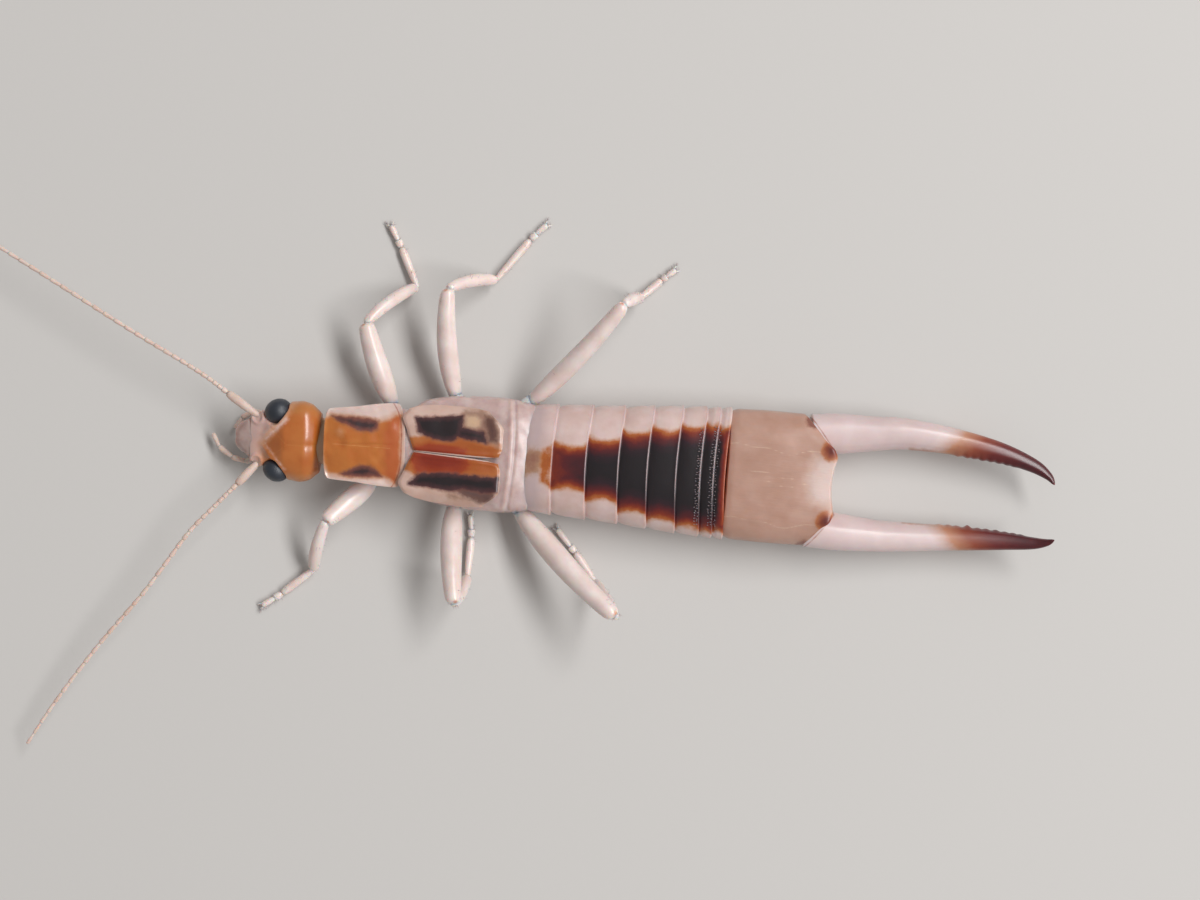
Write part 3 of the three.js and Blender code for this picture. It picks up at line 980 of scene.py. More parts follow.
@dataclass
class Head:
    """Head capsule with its cheeks, brow ridges and sutures, and the eyes set in it."""

    start: float = 0.62
    end: float = 3.68
    axis_height: float = 1.75
    roll: float = math.radians(12)
    shift: float = -0.1
    eye_centre: Point = (1.83, 1.25, 1.86)
    eye_size: Point = (0.57, 0.5, 0.58)
    eye_turn: float = math.radians(30)
    half: Curve = curve((0.62, 0.84), (0.9, 1.03), (1.25, 1.18), (1.6, 1.3), (1.95, 1.42), (2.35, 1.6),
                        (2.8, 1.72), (3.2, 1.62), (3.5, 1.38), (3.68, 1.22))
    top: Curve = curve((0.62, 1.86), (1.0, 2.02), (1.35, 2.2), (1.8, 2.45), (2.3, 2.64), (3.0, 2.64),
                       (3.4, 2.46), (3.68, 2.2))
    bottom: Curve = curve((0.62, 1.3), (1.5, 0.98), (2.6, 0.88), (3.3, 1.0), (3.68, 1.25))

    def rolled(self, p: Vector) -> Vector:
        """Turns a point of the upright head as the animal holds it, with the right eye up."""
        y, z = p.y, p.z - self.axis_height
        cos, sin = math.cos(self.roll), math.sin(self.roll)
        return Vector((p.x, y * cos - z * sin + self.shift, y * sin + z * cos + self.axis_height))

    def behind_brow(self, x: float, y: float) -> float:
        """Distance behind the slanting line that bounds the eye, in millimetres."""
        return (x - 1.86) * 0.857 - (abs(y) - 0.73) * 0.514

    def place(self, u: float, v: float) -> Point:
        """Skin of the upright capsule before its relief: u runs to the rear, v goes round."""
        ends = 0.5 - 0.5 * math.cos(math.pi * u)
        x = self.start + (self.end - self.start) * (0.35 * u + 0.65 * ends)
        angle = 2 * math.pi * v
        close = min(1.0, (max(0.0, u) / 0.06) ** 0.6, math.sqrt(max(0.0, (1 - u) / 0.035)))
        y = self.half(x) * powered(math.cos(angle), 0.86) * close
        rise = self.top(x) - self.axis_height if math.sin(angle) > 0 else self.axis_height - self.bottom(x)
        return (x, y, self.axis_height + rise * powered(math.sin(angle), 0.9) * close)

    def relief(self, p: Vector, normal: Vector) -> float:
        """Height of the relief: eye beds, ridges to the feelers' sockets, brows, temples, nape, sutures."""
        if p.z < self.axis_height - 0.5:
            return 0.0
        y = abs(p.y)
        behind = self.behind_brow(p.x, y)
        from_eye = math.hypot((p.x - self.eye_centre[0]) / 0.62, (y - self.eye_centre[1]) / 0.56)
        bed = -0.3 * ease(0.1, -0.14, behind) * ease(0.97, 0.72, from_eye)
        ridge_line = abs((p.x - 1.35) * 0.75 - (y - 0.25) * 0.66)
        ridge = 0.07 * math.exp(-((ridge_line / 0.11) ** 2)) * ease(0.12, 0.3, y) * ease(1.15, 0.8, y)
        fossa = -0.05 * mound(p.x, y, (1.25, 0.55), 0.24)
        rim = 0.07 * math.exp(-(((math.hypot(p.x - 1.0, y - 0.93) - 0.24) / 0.07) ** 2))
        brow = 0.05 * math.exp(-((behind / 0.1) ** 2)) * ease(0.55, 0.8, y)
        temple = 0.02 * mound(p.x, y, (2.75, 1.1), 0.5)
        nape = -0.015 * mound(p.x, y, (3.3, 0.0), 0.3)
        return bed + ridge + fossa + rim + brow + temple + nape - 0.02 * self.suture(p)

    def ridge_highlight_depth(self, p: Vector) -> float:
        """Distance inside the painted highlights along the ridges that run from the frons to the eyes, the
        right one broader because it faces the light.
        """
        t = min(max(((p.x - 1.42) * 0.86 + (abs(p.y) - 0.1) * 0.95) / 1.64, 0.0), 1.0)
        width = (0.09 if p.y > 0 else 0.03) * (0.6 + 0.6 * t)
        return width - math.hypot(p.x - 1.42 - 0.86 * t, abs(p.y) - 0.1 - 0.95 * t) if p.z > 1.9 else -1.0

    def suture(self, p: Vector) -> float:
        """Strength of the Y-shaped seam on the crown, from 0 to 1."""
        y = abs(p.y)
        stem = abs(p.y) if p.x > 2.35 else 9.0
        arm = abs((p.x - 2.35) * 0.66 + (y - 0.02) * 0.75) if 1.55 < p.x <= 2.4 else 9.0
        return math.exp(-((min(stem, arm) / 0.035) ** 2))

    def capsule(self) -> bpy.types.Object:
        """Builds the head capsule, rolled as the animal holds it, with its stored distances."""
        piece = formed("head_capsule", 92, 96, self.place)
        press(piece, self.relief)
        smoothed(piece)
        paint(piece, "front_pale", lambda p: 1.42 + 0.73 * max(p.y, -0.12) - p.x)
        paint(piece, "frons_dark", lambda p: 0.55 - math.hypot((p.x - 2.0) / 1.3, p.y / 1.1))
        # Painted highlight along the ridges, stored as the "ridge" distance.
        paint(piece, "ridge", self.ridge_highlight_depth)
        paint(piece, "cheek_tan", lambda p: abs(p.y) - 1.15)
        paint(piece, "suture", lambda p: 0.03 * (self.suture(p) - 0.4) if p.z > 2 else -1.0)
        return sculpt(piece, self.rolled)

    def eye(self, side: Side) -> bpy.types.Object:
        """Builds one compound eye: an icosphere whose corners are cut to raised six-sided facets."""
        deselect_all()
        bpy.ops.mesh.primitive_ico_sphere_add(subdivisions=5, radius=1)
        piece = settle(bpy.context.object, f"eye_{side.word}_lens")
        bpy.ops.object.mode_set(mode="EDIT")
        bpy.ops.mesh.select_all(action="SELECT")
        bpy.ops.mesh.bevel(affect="VERTICES", offset_type="PERCENT", offset_pct=42)
        bpy.ops.object.mode_set(mode="OBJECT")
        bpy.ops.object.mode_set(mode="EDIT")
        bpy.ops.mesh.select_mode(type="FACE")
        bpy.ops.object.mode_set(mode="OBJECT")
        for polygon in piece.data.polygons:
            polygon.select = len(polygon.vertices) >= 5
        bpy.ops.object.mode_set(mode="EDIT")
        bpy.ops.mesh.inset(thickness=0.009, depth=0.006, use_individual=True)
        bpy.ops.object.mode_set(mode="OBJECT")
        turn = side.value * self.eye_turn
        cos, sin = math.cos(turn), math.sin(turn)
        x0, y0, z0 = self.eye_centre

        def move(p: Vector) -> Vector:
            """Stretches the ball to the eye, turns it and sets it in the rolled head."""
            x, y, z = (c * MM * size for c, size in zip(p, self.eye_size))
            spot = Vector((x * cos - y * sin + x0, x * sin + y * cos + side.value * y0, z + z0))
            return self.rolled(spot)

        return sculpt(piece, move)

    def build(self, stand: Stand) -> None:
        """Builds the capsule and both eyes."""
        stand.hand_over(self.capsule(), HEAD_CASE.build(), "head", "head")
        lens = EyeLens().build()
        for side in Side:
            stand.hand_over(self.eye(side), lens, "eye", f"eye_{side.word}")


@dataclass
class Mouthparts:
    """Upper lip, jaws and the two longer palps."""

    head: Head
    lip_length: float = 0.8
    lip_half: float = 0.84
    palp_radius: float = 0.125
    left_palp: tuple[Point, ...] = (
        (0.95, -0.85, 0.85), (0.35, -1.15, 0.66), (-0.25, -1.0, 0.66), (-0.85, -0.62, 0.6),
        (-1.2, -0.08, 0.45),
    )
    right_palp: tuple[Point, ...] = (
        (1.05, 0.85, 0.8), (0.5, 1.02, 0.5), (-0.02, 0.74, 0.42), (-0.3, 0.25, 0.36),
    )

    def lip(self) -> bpy.types.Object:
        """Builds the upper lip, a thin rounded plate with a shallow notch in front."""

        def place(u: float, v: float) -> Point:
            """Upper face of the lip: u runs to the rear, v goes across."""
            across = 2 * v - 1
            half = self.lip_half * (0.8 + 0.2 * ease(0.0, 0.6, u))
            front = 0.04 + 0.3 * abs(across) ** 3 + 0.04 * math.exp(-((across / 0.16) ** 2))
            x = front + (self.lip_length + 0.12 - front) * u
            z = 1.9 - 0.16 * across**2 - 0.14 * (1 - u) ** 2 + 0.03 * math.exp(-((across / 0.3) ** 2))
            return (x, half * across, z)

        piece = plate(formed("upper_lip", 26, 36, place), 0.28, 0.07)
        smoothed(piece)
        paint(piece, "lip_dark", lambda p: 0.16 - abs(math.hypot(p.x - 0.75, p.y) - 0.62) - 0.2 * p.x)
        return sculpt(piece, self.head.rolled)

    def jaw(self, side: Side, pattern: bpy.types.Object) -> bpy.types.Object:
        """Lays one jaw under the lip."""
        sign = side.value
        start = self.head.rolled(Vector((1.35, sign * 0.66, 1.32)))
        end = self.head.rolled(Vector((0.3, sign * 0.12, 1.2)))
        return laid(pattern, f"jaw_{side.word}", start, end, 0.3, 0.26, (0, sign * 0.22, 0))

    def palp(self, side: Side, points: Sequence[Point], pattern: bpy.types.Object) -> bpy.types.Object:
        """Lays the joints of one palp end to end.

        Args:
            side: The palp's side.
            points: The ends of its joints.
            pattern: The joint to copy.

        Returns:
            The palp as one object.
        """
        joints = []
        for i, (start, end) in enumerate(zip(points, points[1:])):
            a, b = Vector(start), Vector(end)
            over = (b - a).normalized() * 0.04
            slim = self.palp_radius * (1.0 if i < len(points) - 2 else 0.8)
            joints.append(laid(pattern, f"palp_{side.word}_{i}", a - over, b + over, slim))
        return joined(f"palp_{side.word}_joints", joints)

    def build(self, stand: Stand) -> None:
        """Builds the lip, the jaws and the palps."""
        jaw_pattern = turned(
            "jaw_pattern",
            [(-0.02, 0), (0, 0.5), (0.1, 0.8), (0.4, 1.0), (0.7, 0.7), (0.9, 0.35), (1, 0.12), (1.02, 0)],
        )
        joint_pattern = turned(
            "palp_pattern",
            [(-0.03, 0), (0, 0.4), (0.06, 0.7), (0.3, 0.85), (0.75, 1.08), (0.93, 1.0), (0.99, 0.6),
             (1.02, 0)],
            14,
        )
        smoothed(jaw_pattern)
        smoothed(joint_pattern)
        jaws = [self.jaw(side, jaw_pattern) for side in Side]
        lip = joined("upper_lip_and_jaws", [self.lip(), *jaws])
        stand.hand_over(lip, LIP.build(), "mouthparts", "labrum")
        finish = FEELER.build()
        for side, points in ((Side.LEFT, self.left_palp), (Side.RIGHT, self.right_palp)):
            palp = self.palp(side, points, joint_pattern)
            stand.hand_over(palp, finish, "mouthparts", f"palp_{side.word}")
        discard(jaw_pattern, joint_pattern)


@dataclass
class Feelers:
    """The two feelers: a stout first joint, a small second one and a whip of about thirty joints."""

    joints: int = 31
    scape_radius: float = 0.185
    whip_radius: float = 0.11
    scapes: dict[Side, tuple[Point, Point]] = field(
        default_factory=lambda: {
            Side.LEFT: ((1.12, -1.02, 1.5), (0.22, -2.12, 1.6)),
            Side.RIGHT: ((1.0, 0.82, 1.98), (-0.4, 1.7, 1.95)),
        }
    )
    whips: dict[Side, tuple[Point, ...]] = field(
        default_factory=lambda: {
            Side.LEFT: (
                (0.22, -2.12, 1.6), (-0.8, -3.3, 1.62), (-1.7, -4.4, 1.6), (-3.3, -6.9, 1.45),
                (-5.15, -9.4, 1.25), (-6.8, -11.9, 1.05), (-7.9, -13.8, 0.9),
            ),
            Side.RIGHT: (
                (-0.4, 1.7, 1.95), (-1.7, 2.5, 1.98), (-4.3, 3.81, 2.05), (-7.9, 5.7, 1.95),
                (-10.6, 7.1, 1.75), (-12.8, 8.3, 1.5),
            ),
        }
    )

    def whip_starts(self) -> list[float]:
        """Shares of the whip's length where its joints start: short ones first, then longer and longer."""
        lengths = [0.55 if i == 0 else 0.5 + 0.75 * min(1.0, i / 14) for i in range(self.joints)]
        total = sum(lengths)
        starts = [0.0]
        for length in lengths:
            starts.append(starts[-1] + length / total)
        return starts

    def feeler(self, side: Side, scape: bpy.types.Object, joint: bpy.types.Object) -> bpy.types.Object:
        """Lays all joints of one feeler along its line.

        Args:
            side: The feeler's side.
            scape: The pattern of the first joint.
            joint: The pattern of the whip's joints.

        Returns:
            The feeler as one object.
        """
        start, end = (Vector(p) for p in self.scapes[side])
        pieces = [laid(scape, f"scape_{side.word}", start, end, self.scape_radius, bow=(0, 0, 0.05))]
        line = Route(self.whips[side])
        starts = self.whip_starts()
        taper = smooth_curve([(0, 1.0), (0.2, 0.95), (0.7, 0.9), (1, 0.62)])
        for i, (low, high) in enumerate(zip(starts, starts[1:])):
            a, _ = line.at(low)
            b, _ = line.at(high)
            over = (b - a).normalized() * 0.02
            radius = self.whip_radius * taper(low) * (1.15 if i == 0 else 1.0)
            pieces.append(laid(joint, f"whip_{side.word}_{i}", a - over, b + over, radius))
        return joined(f"antenna_{side.word}_joints", pieces)

    def build(self, stand: Stand) -> None:
        """Builds both feelers."""
        scape = turned(
            "scape_pattern",
            [(-0.05, 0), (-0.04, 0.55), (0.0, 0.72), (0.05, 0.6), (0.12, 0.78), (0.4, 1.0), (0.8, 1.04),
             (0.94, 0.9), (0.985, 0.6), (1.0, 0)],
            18,
        )
        joint = turned(
            "whip_pattern",
            [(-0.01, 0), (0, 0.5), (0.05, 0.68), (0.3, 0.8), (0.7, 0.98), (0.88, 1.02), (0.97, 0.82),
             (1.0, 0.5), (1.01, 0)],
            12,
        )
        smoothed(scape)
        smoothed(joint)
        for pattern in (scape, joint):
            paint(pattern, "joint_ring", lambda p: max(0.06 - p.x, p.x - 0.93))
        finish = FEELER.build()
        for side in Side:
            feeler = self.feeler(side, scape, joint)
            nodes = (f"antenna_{side.word}_scape", f"antenna_{side.word}_flagellum")
            stand.hand_over(feeler, finish, "antenna", *nodes)
        discard(scape, joint)


@dataclass
class SoftBody:
    """The soft skin from the neck to the waist that carries the shield and the wing cases."""

    start: float = 3.3
    end: float = 12.6
    middle: float = 1.6
    seams: tuple[float, ...] = (4.55, 7.25, 9.6, 11.9)
    half: Curve = curve((3.3, 0.9), (3.75, 0.98), (4.2, 1.05), (5.0, 1.35), (6.4, 1.6), (7.1, 1.62),
                        (7.35, 1.72), (8.0, 2.12), (9.3, 2.34), (10.8, 2.42), (11.7, 2.38), (12.6, 2.2))
    top: Curve = curve((3.3, 2.2), (3.8, 2.36), (4.2, 2.42), (5.0, 2.5), (6.4, 2.55), (7.0, 2.76),
                       (7.5, 2.84), (8.1, 2.7), (9.0, 2.5), (10.6, 2.55), (11.3, 2.7), (11.7, 2.74),
                       (12.6, 2.5))
    bottom: Curve = curve((3.3, 1.3), (4.2, 1.15), (5.2, 0.98), (6.6, 0.95), (8.0, 0.98), (9.8, 0.95),
                          (11.6, 1.05), (12.6, 1.2))

    def place(self, u: float, v: float) -> Point:
        """Skin of the trunk: u runs to the rear, v goes round."""
        x = self.start + (self.end - self.start) * u
        angle = 2 * math.pi * v
        close = min(1.0, math.sqrt(max(0.0, u / 0.01)), math.sqrt(max(0.0, (1 - u) / 0.01)))
        y = self.half(x) * powered(math.cos(angle), 0.85) * close
        rise = self.top(x) - self.middle if math.sin(angle) > 0 else self.middle - self.bottom(x)
        return (x, y, self.middle + rise * powered(math.sin(angle), 0.8) * close)

    def relief(self, p: Vector, normal: Vector) -> float:
        """Folds of the sides, seams between the belly plates and the band behind the wing cases."""
        side = ease(0.75, 0.2, abs(normal.z))
        fold = -0.07 * math.exp(-(((p.z - 1.75) / 0.1) ** 2)) - 0.05 * math.exp(-(((p.z - 1.2) / 0.08) ** 2))
        slant = 0.35 * (p.z - 1.5)
        seam = sum(math.exp(-(((p.x - at - slant) / 0.08) ** 2)) for at in self.seams)
        belly = -0.06 * seam * ease(0.2, -0.3, normal.z)
        arc = p.x + 0.03 * p.y * p.y
        swell = 0.035 * math.exp(-(((arc - 11.62) / 0.1) ** 2))
        band = swell - 0.05 * math.exp(-(((arc - 11.8) / 0.06) ** 2))
        wrinkle = 0.03 * noise.noise(Vector((p.x * 2.2, p.y * 3.0, p.z * 3.0)))
        return side * (fold - 0.05 * seam) + belly + (band * ease(0.2, 0.6, normal.z)) + wrinkle

    def build(self, stand: Stand) -> None:
        """Builds the skin of neck and thorax."""
        piece = formed("thorax_skin", 190, 84, self.place)
        press(piece, self.relief)
        smoothed(piece)
        paint(piece, "neck_tan", lambda p: 4.5 - p.x - 0.3 * abs(p.y) if p.z > 1.4 else -1.0)
        stand.hand_over(piece, SOFT_SKIN.build(), "thorax", "neck", "prothorax", "thorax")


@dataclass
class Shield:
    """Pronotum: a thin plate over the front of the thorax, domed in the middle, with clear side margins."""

    start: float = 3.94
    end: float = 7.3
    height: float = 2.97
    yaw: float = math.radians(3)
    pivot: tuple[float, float] = (5.55, -0.03)
    tan_outline: tuple[tuple[float, float], ...] = (
        (3.88, 0.95), (4.15, 1.06), (4.95, 1.06), (6.05, 0.96), (6.58, 1.1), (6.8, 1.3), (7.02, 1.34),
        (7.05, 0.66), (7.14, -0.72), (6.98, -1.54), (6.72, -1.33), (6.4, -1.24), (4.95, -1.33),
        (4.2, -1.27), (4.0, -0.9), (3.86, -0.06),
    )
    right_patch: tuple[tuple[float, float], ...] = (
        (4.15, 1.07), (5.0, 1.08), (5.6, 1.07), (6.1, 1.0), (6.12, 0.68), (5.85, 0.56), (5.33, 0.54),
        (4.95, 0.72), (4.45, 0.9),
    )
    left_patch: tuple[tuple[float, float], ...] = (
        (4.68, -1.29), (5.14, -1.07), (5.52, -0.87), (5.88, -0.87), (6.2, -1.05), (6.4, -1.26),
        (5.65, -1.33), (4.96, -1.36),
    )
    half: Curve = curve((3.92, 1.3), (4.0, 1.38), (4.2, 1.46), (5.2, 1.56), (6.2, 1.7), (6.8, 1.74),
                        (7.15, 1.66), (7.4, 1.4))

    def rear(self, across: float) -> float:
        """Rear edge at a share of the half width: bowed back in the middle."""
        return self.end - 0.3 * abs(across) ** 3.2

    def front(self, across: float) -> float:
        """Front edge at a share of the half width: straight, with small round corners."""
        return self.start + 0.16 * abs(across) ** 7

    def place(self, u: float, v: float) -> Point:
        """Upper face: u runs to the rear, v goes across."""
        across = math.copysign(1 - (1 - abs(2 * v - 1)) ** 1.25, 2 * v - 1)
        low, high = self.front(across), self.rear(across)
        x = low + (high - low) * u
        y = self.half(x) * across
        dome = self.height - 0.14 * y**2 - 0.035 * abs(x - 5.5) ** 2
        flare = 0.12 * ease(0.78, 1.0, abs(across))
        edge = 0.02 * math.exp(-((min(x - low, high - x) / 0.08) ** 2))
        swell = 0.06 * mound(x, abs(y), (4.75, 0.55), 0.5) - 0.05 * mound(x, y, (4.55, 0.0), 0.35)
        furrow = -0.015 * math.exp(-(((x - 6.3 - 0.08 * y * y) / 0.25) ** 2))
        groove = -0.03 * math.exp(-((y / 0.05) ** 2)) * ease(4.3, 4.6, x) * ease(6.9, 6.4, x)
        scar = 0.03 * noise.noise(Vector((x * 2.6, y * 2.6, 1.7)))
        return (x, y, dome + flare + edge + swell + furrow + groove + scar)

    def turned_in_pose(self, p: Vector) -> Vector:
        """Turns a point of the straight shield as the animal holds it."""
        x, y = p.x - self.pivot[0], p.y - self.pivot[1]
        cos, sin = math.cos(self.yaw), math.sin(self.yaw)
        return Vector((self.pivot[0] + x * cos - y * sin, self.pivot[1] + x * sin + y * cos, p.z))

    def build(self, stand: Stand) -> None:
        """Builds the shield."""
        piece = plate(formed("pronotum_shield", 88, 92, self.place), 0.14, 0.04)
        smoothed(piece)
        paint(piece, "hind_line", lambda p: 0.05 - abs(p.x - (self.rear(p.y / 1.6) - 0.16)))
        sculpt(piece, self.turned_in_pose)
        tan, right, left = (inside(line) for line in (self.tan_outline, self.right_patch, self.left_patch))
        paint(piece, "margin", lambda p: -tan(p))
        paint(piece, "patch", lambda p: max(right(p), left(p)))
        paint(piece, "rear_red", lambda p: p.x - 6.2 + 0.05 * p.y)
        # Painted highlight: a lighter round patch on the right hump only, where the light falls.
        paint(piece, "painted_hump_highlight", lambda p: 0.3 - math.hypot(p.x - 4.6, p.y - 0.45))
        paint(piece, "middle_line", lambda p: 0.02 - abs(p.y + 0.08) if 4.3 < p.x < 6.7 else -1.0)
        stand.hand_over(piece, SHIELD.build(), "pronotum", "pronotum")


@dataclass
class WingCases:
    """The two short wing cases, which meet along the middle and stand a little apart behind."""

    front: float = 7.69
    front_slant: float = 0.44
    rear: float = 11.3
    height: float = 3.0
    outer: Curve = curve((0, 1.75), (0.12, 1.9), (0.4, 2.02), (0.8, 2.06), (1, 1.98))
    inner: Curve = curve((0, 0.015), (0.55, 0.02), (0.85, 0.06), (1, 0.14))
    outlines: dict[str, tuple[tuple[tuple[float, float], ...], ...]] = field(
        default_factory=lambda: {
            "orange_field": (
                ((7.5, 0.38), (8.2, 0.55), (9.0, 0.52), (9.6, 0.72), (10.3, 0.6), (11.2, 0.4),
                 (11.22, -0.9), (9.6, -1.0), (7.9, -1.1), (7.38, -0.85), (7.6, -0.18)),
            ),
            "red_field": (
                ((7.7, 0.08), (8.3, 0.26), (9.0, 0.22), (9.8, 0.12), (10.0, -0.5), (9.6, -0.95),
                 (8.4, -0.98), (7.85, -0.95), (7.66, -0.5)),
            ),
            "tan_field": (
                ((9.5, 1.86), (10.38, 1.93), (10.92, 1.68), (11.18, 1.11), (11.24, 0.27), (10.5, 0.4),
                 (9.4, 0.8)),
                ((8.9, -1.45), (9.7, -1.75), (10.3, -2.0), (9.2, -2.02)),
            ),
            "pale_spot": (
                ((9.66, 1.58), (10.1, 1.62), (10.36, 1.42), (10.4, 1.12), (10.2, 0.96), (9.75, 0.98),
                 (9.6, 1.2)),
            ),
            "brown_field": (
                ((10.45, 1.6), (10.85, 1.5), (11.08, 1.05), (11.1, 0.5), (10.7, 0.45), (10.6, 0.9)),
                ((9.1, -1.35), (9.24, -1.55), (9.73, -1.75), (10.46, -2.03), (11.03, -2.05), (11.2, -1.45),
                 (11.2, -1.2)),
            ),
            "dark_field": (
                ((7.67, 1.26), (8.82, 1.36), (9.57, 1.5), (9.55, 1.08), (9.5, 0.7), (9.27, 0.47),
                 (8.89, 0.42), (8.27, 0.55), (7.83, 0.7)),
                ((9.4, 0.98), (9.99, 0.94), (10.5, 0.86), (10.62, 0.46), (10.21, 0.54), (9.45, 0.62)),
                ((7.58, -1.47), (7.97, -1.03), (9.19, -0.92), (9.67, -0.95), (10.38, -0.97), (11.23, -0.95),
                 (11.22, -1.5), (10.6, -1.55), (9.9, -1.45), (9.24, -1.6), (8.28, -1.5)),
            ),
        }
    )

    def middle(self, x: float) -> float:
        """Place of the seam between the cases, a little to the left because the body is rolled."""
        return -0.11 - 0.035 * (x - self.front)

    def place(self, sign: int, u: float, v: float) -> Point:
        """Upper face of one case: u runs to the rear, v from the middle line outwards."""
        low, high = self.inner(u), self.outer(u)
        y = low + (high - low) * v
        front = self.front - self.front_slant * y + 0.55 * ease(1.25, 1.95, y)
        rear = self.rear - 0.7 * ease(1.25, 2.1, y) - 0.12 * ease(0.5, 0.1, y)
        x = front + (rear - front) * u
        over = max(0.0, y - 1.55)
        z = self.height - 0.04 * y**2 - 0.75 * over**1.7
        to_end = min(x - front, rear - x)
        z -= 0.04 * math.exp(-(((y - low) / 0.05) ** 2)) + 0.06 * math.exp(-((to_end / 0.07) ** 2))
        hollow = 0.06 * ease(9.6, 11.2, x) * ease(0.6, 0.2, y)
        z += 0.03 * math.exp(-(((y - low - 0.14) / 0.08) ** 2)) - hollow
        z += 0.03 * noise.noise(Vector((x * 1.4, y * 1.8 * sign, 4.0)))
        return (x, sign * y + self.middle(x), z)

    def case(self, side: Side) -> bpy.types.Object:
        """Builds one wing case with its stored distances."""
        sign = side.value
        piece = formed(f"elytron_{side.word}_case", 96, 60, lambda u, v: self.place(sign, u, v))
        plate(piece, 0.12, 0.035)
        smoothed(piece)
        paint(piece, "seam_rim", lambda p: 0.055 + 0.02 * (p.x - self.front) - abs(p.y - self.middle(p.x)))
        for layer, outlines in self.outlines.items():
            fields = [inside(outline) for outline in outlines]
            paint(piece, layer, lambda p, fields=fields: max(depth(p) for depth in fields))
        return piece

    def build(self, stand: Stand) -> None:
        """Builds both wing cases."""
        finish = WING_CASE.build()
        for side in Side:
            stand.hand_over(self.case(side), finish, "elytron", f"elytron_{side.word}")


@dataclass
class Abdomen:
    """The abdomen's rings. The rear rim of each stands over the next one."""

    edges: tuple[float, ...] = (12.15, 13.5, 14.95, 16.3, 17.5, 18.7, 19.7, 20.25, 20.72)
    step: float = 0.1
    middle: float = 1.35
    centre_line: float = -0.27
    dark_halves: tuple[float, ...] = (0.0, 0.82, 1.15, 1.56, 1.78, 2.0, 2.14, 2.08)
    smudge_outline: tuple[tuple[float, float], ...] = (
        (12.1, 0.05), (12.4, 0.36), (12.8, 0.34), (13.2, -0.05), (12.8, -0.5), (12.3, -0.7),
    )
    half: Curve = curve((11.9, 2.2), (13.5, 2.32), (16.3, 2.49), (18.7, 2.68), (20.72, 2.77))
    top: Curve = curve((11.9, 2.6), (14.0, 2.82), (17.5, 2.95), (20.72, 2.86))
    bottom: Curve = curve((11.9, 1.2), (13.2, 0.95), (14.5, 0.4), (16.0, 0.0), (20.0, 0.0), (20.72, 0.06))

    def bowed(self, x: float, y: float) -> float:
        """Forward bow of a ring's edge, most in the middle of the back."""
        return -0.16 * (1 - min(1.0, (y / 2.6) ** 2)) * ease(12.2, 14.0, x)

    def rows(self) -> list[tuple[float, float]]:
        """(x, how far the skin stands out) from the front of the first ring to the rear of the last."""
        found = [(11.9, -self.step)]
        for front, rear in zip(self.edges, self.edges[1:]):
            length = rear - front
            found += [
                (front + 0.01, -self.step),
                (front + 0.04, -self.step * 0.9),
                (front + 0.12, -self.step * 0.45),
                (front + min(0.3, length * 0.4), -self.step * 0.1),
                (front + length * 0.5, 0.01),
                (front + length * 0.7, 0.015),
                (rear - 0.14, 0.02),
                (rear - 0.1, 0.028),
                (rear - 0.04, 0.034),
                (rear - 0.01, 0.02),
                (rear, -0.02),
            ]
        return found

    def ring_of(self, x: float) -> int:
        """Number of the ring at x, from 0."""
        return next((i for i, rear in enumerate(self.edges[1:]) if x <= rear), len(self.edges) - 2)

    def skin(self) -> bpy.types.Object:
        """Forms the rings."""
        rows = self.rows()
        last = len(rows) - 1

        def place(u: float, v: float) -> Point:
            """Skin of the rings: u picks the row, v goes round."""
            x, out = rows[round(u * last)]
            angle = 2 * math.pi * v
            half, low, high = self.half(x) + out, self.bottom(x) - out / 2, self.top(x) + out
            y = half * powered(math.cos(angle), 0.78)
            rise = high - self.middle if math.sin(angle) > 0 else self.middle - low
            z = max(self.middle + rise * powered(math.sin(angle), 0.78), 0.0)
            bow = self.bowed(x, y) if math.sin(angle) > 0 else self.bowed(x, y) * 0.3
            return (x + bow, y, z)

        piece = formed("abdomen_rings", last, 110, place)
        take_up(piece)
        bpy.ops.object.mode_set(mode="EDIT")
        bpy.ops.mesh.select_mode(type="VERT")
        bpy.ops.mesh.select_all(action="DESELECT")
        bpy.ops.mesh.select_non_manifold()
        bpy.ops.mesh.edge_face_add()
        bpy.ops.mesh.normals_make_consistent(inside=False)
        bpy.ops.object.mode_set(mode="OBJECT")
        return piece

    def ring_place(self, p: Vector) -> tuple[int, float, float]:
        """Ring number, distance behind its front edge and distance before its rear edge."""
        x = p.x - self.bowed(p.x, p.y)
        ring = self.ring_of(x)
        return ring, x - self.edges[ring], self.edges[ring + 1] - x

    def field_depth(self, p: Vector) -> float:
        """Distance inside the dark field on the back."""
        if p.z < 1.5:
            return -1.0
        ring, behind, before = self.ring_place(p)
        if ring == 0:
            return min(-0.08, 0.36 - before, 0.75 - abs(p.y - self.centre_line) - 0.5 * before)
        share = min(max(behind / (behind + before), 0.0), 1.0)
        half = self.dark_halves[ring] - 0.16 * math.sin(math.pi * share) + 0.06
        depth = half - abs(p.y - self.centre_line)
        return min(depth, 0.12 + 0.35 * share) if ring == 1 else depth

    def build(self, stand: Stand) -> bpy.types.Object:
        """Builds the rings with their stored distances."""
        piece = self.skin()
        press(
            piece,
            lambda p, n: 0.012 * noise.noise(Vector((p.x * 3, p.y * 3, p.z * 3)))
            - (0.05 * math.exp(-(((p.z - 1.0) / 0.06) ** 2)) if 0.2 < p.z else 0.0),
        )
        smoothed(piece)
        paint(piece, "field", self.field_depth)

        def rim(p: Vector) -> float:
            """Distance inside the thin pale rear rims, partly their own clear cuticle and partly a painted
            highlight that widens towards the lit right side.
            """
            ring, _, before = self.ring_place(p)
